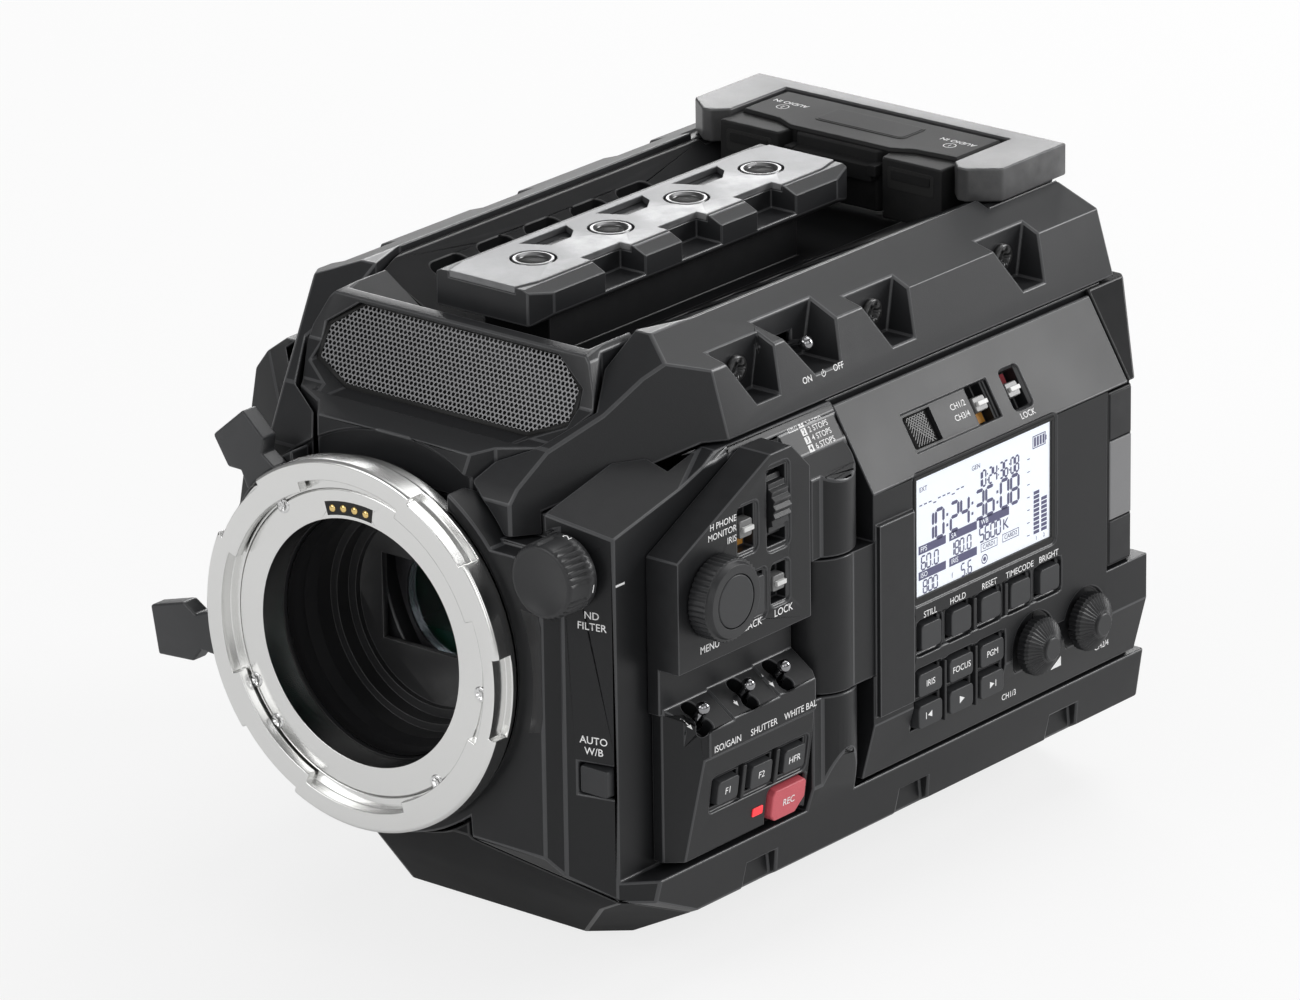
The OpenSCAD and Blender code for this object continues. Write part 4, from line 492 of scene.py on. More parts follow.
# Lighter copies of the three paints for the bevel strips: painted highlights.
finish("body_painted_highlight", (0.050, 0.051, 0.054), 0.33, grain=0.25, shine=0.5)
finish("cover_painted_highlight", (0.060, 0.061, 0.064), 0.33, grain=0.25, shine=0.5)
finish("dark_painted_highlight", (0.022, 0.022, 0.023), 0.4, grain=0.25, shine=0.4)
finish("web_metal", (0.20, 0.20, 0.205), 0.3, metallic=0.8, grain=0.05)
finish("gloss_black", (0.006, 0.006, 0.007), 0.22, grain=0.03)
finish("mesh_light", (0.07, 0.07, 0.07), 0.4, metallic=0.5, grain=0.05)
finish("black_gasket_and_painted_shade", (0.008, 0.008, 0.008), 0.7, grain=0.1)
print("finishes:", len(finishes))

# %% [markdown]
# Three finishes need something of their own. The lit display and the status light glow a little, which
# costs less than a lamp behind them. The filters are real glass, so that one can look through them.

# %% Lit and clear finishes
def glowing(name, colour, strength):
    shader = finish(name, colour, 0.3, grain=0.02, tint=0.03).node_tree.nodes["Principled BSDF"].inputs
    shader["Emission Color"].default_value = (*colour, 1)
    shader["Emission Strength"].default_value = strength


glowing("display_lit", (0.80, 0.84, 0.90), 0.28)
glowing("status_red", (0.85, 0.03, 0.04), 0.5)


def clear_glass(name, colour):
    material = bpy.data.materials.new(name)
    material.use_nodes = True
    tree = material.node_tree
    shader = tree.nodes["Principled BSDF"].inputs
    shader["Metallic"].default_value = 0
    shader["Transmission Weight"].default_value = 1
    shader["IOR"].default_value = 1.5
    smudge = place_group(tree, smudge_group, Base=0.04, Spread=0.03)
    tree.links.new(smudge.outputs["Roughness"], shader["Roughness"])
    fine = place_group(tree, grain_group, Size_mm=4, Tint=0.05)
    shaded = vector_node(tree, "SCALE", {0: colour, "Scale": fine.outputs["Shade"]})
    tree.links.new(shaded.outputs[0], shader["Base Color"])
    finishes[name] = material


clear_glass("filter_glass", (0.45, 0.5, 0.56))
print("finishes with the lit and clear ones:", len(finishes))

# %% [markdown]
# ## Places on the faces
#
# Printed words and small fittings lie on a handful of flat faces. Each face gets a matrix whose columns
# are its right, its up and its outward direction. A detail is then drawn flat, in millimetres, and the
# matrix carries it to the camera.

# %% Matrices of the faces
def face_place(origin, right, up):
    right = Vector(right).normalized()
    up = Vector(up).normalized()
    out = right.cross(up)
    place = Matrix((right, up, out)).transposed().to_4x4()
    place.translation = Vector(origin) * MM
    return place


LENS_UP = 71
SEAT_Y = -95
RAIL_TOP = 139.8
AUDIO_FLOOR = 132.6
FACET = math.radians(31.19)
SKIRT = math.radians(8.1)
SHELF = math.radians(33.69)
facet_up = (-math.sin(FACET), 0, math.cos(FACET))
door_side = face_place((70, 0, 0), (0, 1, 0), (0, 0, 1))
door_facet = face_place((70, 0, 95), (0, 1, 0), facet_up)
legend_face = face_place((64.5, 0, 104), (0, 1, 0), facet_up)
panel_side = face_place((68.6, 0, 0), (0, 1, 0), (0, 0, 1))
label_band = face_place((70.5, 0, 0), (0, 1, 0), (0, 0, 1))
skirt_face = face_place((66.4, 0, 30.5), (0, 1, 0), (math.sin(SKIRT), 0, math.cos(SKIRT)))
shoulder_face = face_place((58.5, 0, 114), (0, 1, 0), (-4.5, 0, 14.5))
pod_face = face_place((44.7, -88.1, 0), (0.973, 0.231, 0), (0, 0, 1))
seat_face = face_place((0, SEAT_Y, LENS_UP), (1, 0, 0), (0, 0, 1))
grille_face = face_place((0, -69.6, 114.7), (1, 0, 0), (0, 9.6, 16.3))
cover_top = face_place((0, 78, 140.55), (-1, 0, 0), (0, -1, 0))
lcd_face = face_place((69.4, 3.4, 93.6), (0, 1, 0), (0, 0, 1))
strip_side = face_place((69.6, 0, 0), (0, 1, 0), (0, 0, 1))
print("the lens axis is", LENS_UP, "mm above the foot")

# %% [markdown]
# ## Drawing on a face
#
# Outlines are lists of points in millimetres on one of those faces. A rounded rectangle is the most
# common one: key caps, windows and pockets all start from it.

# %% Outlines
def rounded(across, up, wide, tall, radius, steps=4):
    points = []
    for side, rise, start in ((1, 1, 0), (-1, 1, 90), (-1, -1, 180), (1, -1, 270)):
        for step in range(steps + 1):
            angle = math.radians(start + 90 * step / steps)
            points.append((across + side * (wide / 2 - radius) + radius * math.cos(angle),
                           up + rise * (tall / 2 - radius) + radius * math.sin(angle)))
    return points


def circle(across, up, radius, count=40):
    return [(across + radius * math.cos(2 * math.pi * i / count),
             up + radius * math.sin(2 * math.pi * i / count))
            for i in range(count)]


def box_points(left, low, wide, tall):
    return [(left, low), (left + wide, low), (left + wide, low + tall), (left, low + tall)]


def grown(outline, by):
    """The outline moved outwards by a distance, for convex shapes that run anticlockwise."""
    points = []
    count = len(outline)
    for i in range(count):
        before, here, after = (Vector(outline[(i + k) % count]) for k in (-1, 0, 1))
        first = (here - before).normalized()
        second = (after - here).normalized()
        normal_one = Vector((first.y, -first.x))
        normal_two = Vector((second.y, -second.x))
        middle = (normal_one + normal_two).normalized()
        points.append(tuple(here + middle * (by / max(0.3, middle.dot(normal_one)))))
    return points


def add_prism(work, outline, low, high, top_by=0.0):
    foot = [work.verts.new((u, v, low)) for u, v in outline]
    lid = [work.verts.new((u, v, high)) for u, v in (grown(outline, top_by) if top_by else outline)]
    count = len(outline)
    work.faces.new(foot[::-1])
    work.faces.new(lid)
    for i in range(count):
        work.faces.new((foot[i], foot[(i + 1) % count], lid[(i + 1) % count], lid[i]))


def mesh_on(name, work, place):
    """What was drawn in millimetres becomes a mesh in metres on a face."""
    mesh = bpy.data.meshes.new(name)
    work.to_mesh(mesh)
    work.free()
    mesh.transform(place @ Matrix.Scale(MM, 4))
    return mesh


print("outlines are ready")

# %% [markdown]
# ## Soft edges on the engineering pieces
#
# A real casting has no knife edges, and its rounded edges catch the light as thin bright lines. The
# frame's meshes may not be changed, so each visible piece is copied, its flat faces are merged, and a
# Bevel modifier rounds what is left of the sharp edges. Edges could be brightened by a texture instead,
# but a bevel is real geometry. The strips of the bevel get a slightly lighter finish of their own, a
# painted highlight on top of the light that they catch. The copy then stands for the original.

# %% The function that softens a piece
def link(piece):
    bpy.context.scene.collection.objects.link(piece)
    return piece


def home(node):
    """The body and the material slot of an engineering piece."""
    return nodes[node]["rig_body"], slot_of[node]


def dress(piece, body, slot, material=None):
    piece.data.materials.clear()
    piece.data.materials.append(finishes[material or slot])
    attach(piece, body)
    return piece


def cut_away(mesh, cuts):
    """Takes prisms out of a copied mesh. A cut is a face's matrix, an outline and a depth in millimetres."""
    carrier = link(bpy.data.objects.new("carrier", mesh))
    tools = []
    for place, outline, depth in cuts:
        work = bmesh.new()
        add_prism(work, outline, -depth, 3)
        tools.append(link(bpy.data.objects.new("cutter", mesh_on("cutter", work, place))))
        change = carrier.modifiers.new("cut", "BOOLEAN")
        change.operation = "DIFFERENCE"
        change.solver = "EXACT"
        change.object = tools[-1]
    bpy.context.view_layer.update()
    view_layer = bpy.context.evaluated_depsgraph_get()
    made = bpy.data.meshes.new_from_object(carrier.evaluated_get(view_layer))
    for piece in [carrier] + tools:
        bpy.data.objects.remove(piece)
    return made


SAME_POINT = 0.000002
FLAT_WITHIN = 0.6
SHARP_PIECE = 12
SHARP_FITTING = 28
# Lighter finishes for the bevel strips of the paints: painted highlights.
PAINTED_HIGHLIGHT_OF = {"body_paint": "body_painted_highlight", "cover_paint": "cover_painted_highlight", "dark_paint": "dark_painted_highlight"}


def flat_faces(piece):
    """Large faces keep their own normal, so the shading turns only across the narrow bevels."""
    weighted = piece.modifiers.new("flat_faces", "WEIGHTED_NORMAL")
    weighted.mode = "FACE_AREA"
    weighted.weight = 100
    weighted.keep_sharp = False


def add_bevel(piece, width, angle, clamp):
    bevel = piece.modifiers.new("soft_edges", "BEVEL")
    bevel.width = width * MM
    bevel.segments = 2
    bevel.limit_method = "ANGLE"
    bevel.angle_limit = math.radians(angle)
    bevel.use_clamp_overlap = clamp
    flat_faces(piece)
    return bevel


def softened(node, width, material=None, cuts=None):
    mesh = nodes[node].data.copy()
    if cuts:
        mesh = cut_away(mesh, cuts)
    work = bmesh.new()
    work.from_mesh(mesh)
    bmesh.ops.remove_doubles(work, verts=work.verts, dist=SAME_POINT)
    bmesh.ops.dissolve_limit(work, angle_limit=math.radians(FLAT_WITHIN), verts=work.verts,
                             edges=work.edges)
    many = [face for face in work.faces if len(face.verts) > 4]
    bmesh.ops.triangulate(work, faces=many, ngon_method="BEAUTY")
    for face in work.faces:
        face.smooth = True
    work.to_mesh(mesh)
    work.free()
    piece = link(bpy.data.objects.new(node + "_soft", mesh))
    bevel = add_bevel(piece, width, SHARP_PIECE, False)
    dress(piece, *home(node), material)
    # The bevel strips get a painted highlight: a lighter copy of the paint.
    painted_highlight = PAINTED_HIGHLIGHT_OF.get(material or slot_of[node])
    if painted_highlight:
        piece.data.materials.append(finishes[painted_highlight])
        bevel.material = 1
    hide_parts(node)
    return piece


print("finishes with a lighter rim:", list(PAINTED_HIGHLIGHT_OF))

# %% [markdown]
# ## Pockets in the door and the panel
#
# The keys, knobs and switches sit in shallow pockets, so that fingers find them in the dark. A pocket
# could be a dark ring painted on the face. Here it is cut out of the copied mesh with a Boolean, so its
# walls catch light and shade as real ones do.

# %% Shallow pockets that the fingers find
ROOT = "camera_body"
DOOR = "side_door"
ROW_Y = [7.6 + 10.4 * i for i in range(5)]
PAD_Y = [7.2 + 10.8 * i for i in range(3)]
F_KEY_Y = [-59.3, -48.3, -37.3]
F_KEY_UP = 13.44
REC_UP = 3.94
LEVEL_Y = [44, 62.4]
ROW_UP = 58
PAD_UP = [47.4, 40.2]
LEVEL_UP = 44.6
cuts = {
    "door": [(door_side, rounded(y, ROW_UP, 9.4, 8.2, 1.4), 1.3) for y in ROW_Y]
    + [(door_side, rounded(y, 43.8, 10.3, 14.9, 1.4), 1.3) for y in PAD_Y]
    + [(door_side, circle(y, LEVEL_UP, 7.5), 1.0) for y in LEVEL_Y]
    + [(door_side, box_points(44, 42.6, 18.4, 4.0), 1.0)]
    + [(door_side, rounded(26.9, 80.4, 50.4, 30.0, 1.6), 0.35)]
    + [(door_facet, rounded(43.4, 8.6, 6.6, 9.8, 1.3), 0.7)],
    "control_panel": [(panel_side, rounded(-51.6, 99.0, 7.0, 11.4, 1.6), 0.6),
                      (panel_side, rounded(-41.5, 101, 7.8, 19.2, 1.8), 0.6),
                      (panel_side, rounded(-41, 84, 6.4, 9.8, 1.5), 0.6),
                      (panel_side, rounded(-48.6, 83.5, 6.4, 11.4, 1.4), 0.6),
                      (skirt_face, rounded(-48.3, F_KEY_UP, 32.2, 8.6, 1.4), 0.7),
                      (skirt_face, rounded(-38, REC_UP, 13.2, 9.2, 1.6), 0.5)],
    "front_panel": [(pod_face, rounded(11.1, 51, 10.6, 9.4, 1.2), 0.7)],
}
print("pieces with pockets:", list(cuts))

# %% [markdown]
# Large shells get wider soft edges than small fittings. Pieces that are rebuilt further down are left
# alone, and all other pieces only get their finish.

# %% Soften every visible piece
widths = {
    "main_housing": 0.5, "top_cover": 0.5, "front_panel": 0.4, "top_tray": 0.3, "control_panel": 0.3,
    "base_cover": 0.45, "rear_cover": 0.4, "audio_block": 0.5, "top_rail": 0.35, "rail_plate": 0.15,
    "door": 0.3, "lens_flange": 0.12, "lock_ring": 0.25, "lock_levers": 0.5, "throat_tube": 0.12,
    "menu_dial": 0.12, "menu_button": 0.3, "gain_wheel": 0.12, "foot_plate": 0.25, "door_display": 0.1,
    "power_toggle": 0.05,
}
painted = {"top_rail": "cover_paint"}
soft = {}
for name, width in widths.items():
    soft[name] = softened(name, width, painted.get(name), cuts.get(name))
rebuilt = ["key_one", "key_two", "key_rate", "key_still", "key_hold", "key_reset", "key_timecode",
           "key_bright", "key_iris", "key_focus", "key_program", "key_previous", "key_play", "key_next",
           "record_key", "balance_key", "back_button", "mode_slider", "panel_lock", "channel_slider",
           "door_lock", "level_knob_front", "level_knob_rear", "rail_inserts", "audio_cover",
           "front_grille", "nd_knob"]
for name, piece in nodes.items():
    if name not in soft and name not in rebuilt:
        piece.data.materials.clear()
        piece.data.materials.append(finishes[slot_of[name]])
print("softened:", len(soft), "rebuilt below:", len(rebuilt))

# %% [markdown]
# ## Printed words
#
# The legends are thin screen print. A text object would do, but dozens of them are slow and each would
# be a separate thing, and an image would not be sharp. So every word becomes a flat mesh, and all the
# words on one moving piece are joined into one print that lies a hair above the paint.

# %% The function that prints words
PRINT_LIFT = 0.03


def printed(name, place, words, body=ROOT, slot="body_paint", material="print_white", lift=PRINT_LIFT):
    """Words are centred on their place unless a fifth value says LEFT or RIGHT."""
    work = bmesh.new()
    for text, across, up, size, *align in words:
        curve = bpy.data.curves.new("word", "FONT")
        curve.body = text
        curve.size = size
        curve.align_x = align[0] if align else "CENTER"
        curve.align_y = "CENTER"
        curve.resolution_u = 3
        curve.offset = size * 0.006
        carrier = bpy.data.objects.new("word", curve)
        flat = bpy.data.meshes.new_from_object(carrier)
        flat.transform(Matrix.Translation((across, up, lift)))
        work.from_mesh(flat)
        bpy.data.objects.remove(carrier)
        bpy.data.curves.remove(curve)
        bpy.data.meshes.remove(flat)
    return dress(link(bpy.data.objects.new(name, mesh_on(name, work, place))), body, slot, material)


def shapes(name, place, polygons, body=ROOT, slot="body_paint", material="print_white", lift=PRINT_LIFT):
    """Flat polygons in millimetres on a face."""
    points = []
    faces = []
    for polygon in polygons:
        faces.append(list(range(len(points), len(points) + len(polygon))))
        points.extend([(p[0], p[1], lift) for p in polygon])
    mesh = bpy.data.meshes.new(name)
    mesh.from_pydata(points, [], faces)
    mesh.transform(place @ Matrix.Scale(MM, 4))
    return dress(link(bpy.data.objects.new(name, mesh)), body, slot, material)


def frame_bars(left, low, wide, tall, line):
    return [box_points(left, low, wide, line), box_points(left, low + tall - line, wide, line),
            box_points(left, low + line, line, tall - 2 * line),
            box_points(left + wide - line, low + line, line, tall - 2 * line)]


print("print lies", PRINT_LIFT, "mm above the paint")

# %% [markdown]
# The words name what a switch or key does: sound, menu, filter strength and power. They are generic, as
# on many cameras. Their sizes and places follow the real ones, so that the side reads the same.

# %% Words on the fixed parts of the operator's side
printed("words_panel", panel_side, [
    ("H PHONE", -55.3, 102.6, 2.0, "RIGHT"), ("MONITOR", -55.3, 100.4, 2.0, "RIGHT"),
    ("IRIS", -55.3, 98.2, 2.0, "RIGHT"), ("MENU", -64.4, 76.9, 2.3), ("BACK", -50.3, 77.6, 2.3),
    ("LOCK", -40.2, 77.7, 2.3),
])
printed("words_shelf", label_band, [
    ("ISO/GAIN", -61.2, 55.0, 2.1), ("SHUTTER", -49.3, 55.0, 2.1),
    ("WHITE BAL", -37.2, 55.0, 2.1),
])
printed("words_pod", pod_face, [
    ("ND", 10.6, 87.0, 2.3), ("FILTER", 10.6, 84.6, 2.3),
    ("AUTO", 10.6, 59.6, 2.3), ("W/B", 10.6, 57.2, 2.3),
])
legend_rows = [("CLEAR", 9.1), ("2 STOPS", 7.25), ("4 STOPS", 5.4), ("6 STOPS", 3.55)]
printed("words_legend", legend_face, [(text, -21.6, up, 1.75, "LEFT") for text, up in legend_rows]
        + [("ND", -26.0, 9.1, 1.5)])
shapes("legend_boxes", legend_face, [box_points(-23.9, up - 0.78, 1.6, 1.56) for text, up in legend_rows]
       + frame_bars(-27.5, 8.2, 3.0, 1.8, 0.16))
printed("legend_digits", legend_face, [(str(place + 1), -23.1, row[1], 1.6)
        for place, row in enumerate(legend_rows)], ROOT, "body_paint", "print_dark", lift=0.05)
printed("words_power", shoulder_face, [("ON", -17.0, 5.4, 2.0), ("OFF", -6.6, 5.4, 2.0)],
        ROOT, "cover_paint")
print("words on the fixed parts are done")


# %% [markdown]
# The power symbol is an open ring with a bar. A curve with a bevel would do too, but it would stand out
# from the paint. So the ring is a row of short flat sectors, as thin as the words.

# %% Power symbol and the outlines of icons
def polar(across, up, radius, degrees):
    angle = math.radians(degrees)
    return across + radius * math.cos(angle), up + radius * math.sin(angle)


def arc_band(across, up, inner, outer, start, stop, steps=24):
    turns = [start + (stop - start) * step / steps for step in range(steps + 1)]
    return [[polar(across, up, inner, a), polar(across, up, outer, a),
             polar(across, up, outer, b), polar(across, up, inner, b)] for a, b in zip(turns, turns[1:])]


def triangle(across, up, half, way):
    return [(across - half * way, up - half), (across + half * way, up),
            (across - half * way, up + half)][::way]


shapes("power_symbol", shoulder_face,
       arc_band(-11.6, 5.3, 0.5, 0.68, 125, 415) + [box_points(-11.7, 5.4, 0.2, 0.85)],
       ROOT, "cover_paint")
print("symbols are done")

# %% [markdown]
# ## Small fittings built by hand
#
# A fitting is a handful of prisms on a face, with a soft edge. Knobs, screws and rings are turned
# instead: a stack of rings, each with its own radius, whose radius may also change round the axis. That
# makes ribs, and the star recess of a screw.

# %% Functions for fittings
def finish_mesh(name, work, place, body, slot, material, edge):
    bmesh.ops.recalc_face_normals(work, faces=work.faces)
    for face in work.faces:
        face.smooth = True
    piece = link(bpy.data.objects.new(name, mesh_on(name, work, place)))
    if edge:
        add_bevel(piece, edge, SHARP_FITTING, True)
    return dress(piece, body, slot, material)


def built(name, place, parts, body=ROOT, slot="body_paint", material=None, edge=0.12):
    """Prisms on a face: outline, low and high in millimetres, and how far the top is drawn in."""
    work = bmesh.new()
    for part in parts:
        add_prism(work, *part)
    return finish_mesh(name, work, place, body, slot, material, edge)


def add_turned(work, across, up, rings, count=40, closed=True):
    """A stack of rings. A radius is a number or a function of the step round the axis."""
    loops = []
    for radius, height in rings:
        loop = []
        for i in range(count):
            r = radius(i) if callable(radius) else radius
            angle = 2 * math.pi * i / count
            loop.append(work.verts.new((across + r * math.cos(angle), up + r * math.sin(angle), height)))
        loops.append(loop)
    for lower, upper in zip(loops, loops[1:]):
        for i in range(count):
            work.faces.new((lower[i], lower[(i + 1) % count], upper[(i + 1) % count], upper[i]))
    if closed:
        work.faces.new(loops[-1])


def turned_piece(name, place, stacks, body, slot, material=None, edge=0.0, count=40, closed=True):
    work = bmesh.new()
    for across, up, rings in stacks:
        add_turned(work, across, up, rings, count, closed)
    return finish_mesh(name, work, place, body, slot, material, edge)


def star(radius, lobes=6, depth=0.16, count=48):
    return lambda i: radius * (1 - depth + depth * math.cos(lobes * 2 * math.pi * i / count))


def screw_rings(radius, high, recess, deep):
    """A pan head with a six-lobed recess."""
    return [(radius, 0.0), (radius, high - 0.18), (radius - 0.18, high), (star(radius * recess), high),
            (star(radius * recess * 0.9), high - deep), (0.05, high - deep)]


print("functions for fittings are ready")

# %% [markdown]
# Key caps are moulded with round corners and a slightly drawn-in top. Bevelling the plain blocks of the
# engineering model would round them evenly, and not draw the top in. So each cap is a new prism with a
# smaller lid. It stands for the block and moves with it.

# %% Key caps
def cap(node, place, outline, low, high, edge=0.22):
    piece = built(node + "_cap", place, [(outline, low, high, -0.25)], *home(node), edge=edge)
    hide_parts(node)


for name, y in zip(("key_still", "key_hold", "key_reset", "key_timecode", "key_bright"), ROW_Y):
    cap(name, door_side, rounded(y, ROW_UP, 7.4, 6.2, 1.2), -2.4, 0.42)
for row, names in ((PAD_UP[0], ("key_iris", "key_focus", "key_program")),
                   (PAD_UP[1], ("key_previous", "key_play", "key_next"))):
    for name, y in zip(names, PAD_Y):
        cap(name, door_side, rounded(y, row, 8.6, 5.6, 1.2), -2.4, 0.42)
for name, y in zip(("key_one", "key_two", "key_rate"), F_KEY_Y):
    cap(name, skirt_face, rounded(y, F_KEY_UP, 7.4, 5.8, 1.1), -2.0, 0.62)
record_outline = [(-43.8, REC_UP - 2.2), (-42.2, REC_UP - 3.8), (-35.2, REC_UP - 3.8),
                  (-32.2, REC_UP - 0.8), (-32.2, REC_UP + 3.0), (-33.0, REC_UP + 3.8),
                  (-42.8, REC_UP + 3.8), (-43.8, REC_UP + 2.8)]
cap("record_key", skirt_face, record_outline, -2.0, 0.85, edge=0.35)
key_front = face_place((0, -86.6, 0), (1, 0, 0), (0, 0, 1))
cap("balance_key", key_front, rounded(55.5, 51, 7.6, 6.4, 0.9), -3.6, -0.05, edge=0.3)
cap("back_button", panel_side, rounded(-48.6, 83.5, 4.2, 9.0, 0.8), -2.4, 0.4, edge=0.3)
built("key_ribs", door_side, [(box_points(y - 0.55, 54.4, 1.1, 7.2), -1.2, 0.35) for y in (22.9, 33.9)]
      + [(box_points(y - 0.4, 37.0, 0.8, 13.6), -1.2, 0.3) for y in (12.6, 23.4)], DOOR, edge=0.15)
built("function_ribs", skirt_face,
      [(box_points(y - 0.6, F_KEY_UP - 3.9, 1.2, 7.8), -0.65, 0.35) for y in (-53.8, -42.8)], edge=0.2)
print("key caps are done")

# %% [markdown]
# A slide switch is a grey thumb with a white grip bar. Beside the thumb a coloured flag shows in its
# window: amber for the two selectors, red for the door's lock. Flag and thumb are separate prisms,
# because the thumb slides and the flag stays.

# %% Slide switches
def slide_switch(node, place, across, up, wide, tall, face, flag=None, flag_up=0):
    body, slot = home(node)
    thumb = rounded(across, up, wide, tall, 0.7)
    piece = built(node + "_thumb", place, [(thumb, face - 2.4, face, -0.2)], body, slot, "thumb_grey", 0.2)
    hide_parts(node)
    grip = box_points(across - wide * 0.32, up - 0.5, wide * 0.74, 1.0)
    built(node + "_grip", place, [(grip, face - 0.2, face + 0.75)], body, slot, "switch_white", 0.12)
    if flag:
        window = box_points(across - wide * 0.46, up + flag_up - tall * 0.34, wide * 0.92, tall * 0.68)
        carrier = ROOT if place is panel_side else DOOR
        built(node + "_flag", place, [(window, face - 3.2, face - 2.6)], carrier, slot, flag, 0.05)


slide_switch("mode_slider", panel_side, -51.6, 99, 4.4, 4.2, -0.5, "print_orange", -3.0)
slide_switch("panel_lock", panel_side, -41, 84, 4.2, 3.8, -0.5)
slide_switch("channel_slider", door_facet, 32, 8.6, 4.4, 3.6, -1.0, "print_orange", -2.7)
slide_switch("door_lock", door_facet, 43.4, 8.6, 4.4, 3.6, -1.0, "record_red", 2.7)
print("slide switches are done")

# %% [markdown]
# The two level knobs are cones with fine ribs that run up to a small flat cap. Ribs could come from a
# bump in the material, but they show in the outline, so every other point of a ring is drawn inwards.

# %% Level knobs
RIB_POINTS = 76


def ribbed(radius, depth):
    return lambda i: radius - (depth if i % 2 else 0)


def level_knob(node, y):
    rings = [(ribbed(6.55, 0.35), 0.35), (ribbed(6.55, 0.4), 2.2), (ribbed(6.1, 0.45), 2.9),
             (ribbed(3.4, 0.3), 4.6), (2.75, 4.75), (2.6, 5.2), (2.35, 5.35)]
    work = bmesh.new()
    add_turned(work, y, LEVEL_UP, rings, RIB_POINTS)
    piece = finish_mesh(node + "_cone", work, door_side, *home(node), None, 0.0)
    for face in piece.data.polygons:
        face.use_smooth = False
    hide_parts(node)


level_knob("level_knob_front", LEVEL_Y[0])
level_knob("level_knob_rear", LEVEL_Y[1])
print("level knobs are done")

# %% [markdown]
# Words on keys move with the keys, so each is a print of its own, a hair above its cap. The rest of the
# door's words are one print on the door. The status light is a small lens beside the record key.

# %% Words of the door and the function keys
KEY_PRINT = 0.45
for node, text, y in (("key_iris", "IRIS", 7.2), ("key_focus", "FOCUS", 18.0),
                      ("key_program", "PGM", 28.8)):
    printed(node + "_word", door_side, [(text, y, PAD_UP[0], 2.0)], *home(node), lift=KEY_PRINT)
for node, polygons in (
        ("key_previous", [triangle(6.9, PAD_UP[1], 0.75, -1), box_points(5.5, 39.45, 0.24, 1.5)]),
        ("key_play", [triangle(18.1, PAD_UP[1], 0.85, 1)]),
        ("key_next", [triangle(28.6, PAD_UP[1], 0.75, 1), box_points(29.8, 39.45, 0.24, 1.5)])):
    shapes(node + "_icon", door_side, polygons, *home(node), lift=KEY_PRINT)
for node, text, y, up, lift in (("key_one", "F1", -59.3, F_KEY_UP, 0.65),
                                ("key_two", "F2", -48.3, F_KEY_UP, 0.65),
                                ("key_rate", "HFR", -37.3, F_KEY_UP, 0.65),
                                ("record_key", "REC", -38.0, REC_UP, 0.88)):
    printed(node + "_word", skirt_face, [(text, y, up, 2.2)], *home(node), lift=lift)
printed("words_door", door_side, [
    ("STILL", 7.6, 63.0, 2.0), ("HOLD", 17.2, 63.2, 2.0), ("RESET", 28.2, 63.2, 2.0),
    ("TIMECODE", 38.9, 63.2, 2.0), ("BRIGHT", 49.2, 63.2, 2.0),
    ("CH1/3", 35.1, 35.6, 1.9), ("CH2/4", 68.4, 36.8, 1.9)], DOOR)
shapes("wedge_symbol", door_side, [[(49.9, 36.7), (53.7, 36.7), (53.7, 38.9)]], DOOR)
printed("words_facet", door_facet,
        [("CH1/2", 27.9, 10.1, 1.9, "RIGHT"), ("CH3/4", 27.9, 7.6, 1.9, "RIGHT")], DOOR, lift=-1.15)
printed("words_lock", door_facet, [("LOCK", 43.4, 2.4, 1.9)], DOOR)
built("status_light", skirt_face, [(rounded(-47.6, 4.4, 3.4, 1.9, 0.3), -0.2, 0.25)], ROOT, "record_red",
      "status_red", 0.1)
print("words of the door are done")

# %% [markdown]
# The microphone sits behind a small woven mesh at the front end of the channel. A checked texture would
# look flat from the side, so the mesh is two crossed sets of bars over a dark floor.

# %% Microphone mesh and its channel
def weave(name, place, left, low, wide, tall, pitch, bar, lift, body, slot, material):
    """Two crossed sets of slanted bars, cut to a window."""
    polygons = []
    reach = wide + tall
    for turn in (1, -1):
        steps = int(reach / pitch) + 1
        for step in range(-1, steps + 1):
            start = step * pitch - (tall if turn == 1 else 0)
            line = []
            for part in range(0, 9):
                v = tall * part / 8
                u = start + (v if turn == 1 else reach - wide - v)
                line.append((u, v))
            inside = [(u, v) for u, v in line if 0 <= u <= wide]
            if len(inside) < 2:
                continue
            (u0, v0), (u1, v1) = inside[0], inside[-1]
            polygons.append([(left + u0 - bar / 2, low + v0), (left + u0 + bar / 2, low + v0),
                             (left + u1 + bar / 2, low + v1), (left + u1 - bar / 2, low + v1)])
    return shapes(name, place, polygons, body, slot, material, lift)


built("mic_floor", door_facet, [(rounded(11.4, 8.6, 7.6, 7.4, 0.6), -1.18, -1.1)], DOOR, "body_paint",
      "black_gasket_and_painted_shade", 0.0)
weave("mic_mesh", door_facet, 8.0, 5.3, 6.8, 6.6, 0.9, 0.26, -1.0, DOOR, "body_paint", "mesh_light")
built("mic_bridge", door_facet,
      [(box_points(15.6, 4.9, 1.5, 7.4), -1.1, -0.1), (box_points(17.3, 5.0, 11.8, 7.2), -1.19, -1.17)],
      DOOR, edge=0.15)
print("microphone is done")

# %% [markdown]
# ## The display on the door
#
# A segment display: digits made of seven bars each, in dark blue on a lit pale ground. A typeface could
# stand in for them, but the gaps between the bars are what makes such a display look real. The numbers are
# an ordinary readout: a running clock, speed, shutter angle, colour temperature, sensitivity, aperture.

# %% Segment digits
SEGMENTS = {"0": "abcdef", "1": "bc", "2": "abged", "3": "abgcd", "4": "fgbc", "5": "afgcd", "6": "afgedc",
            "7": "abc", "8": "abcdefg", "9": "abcdfg"}


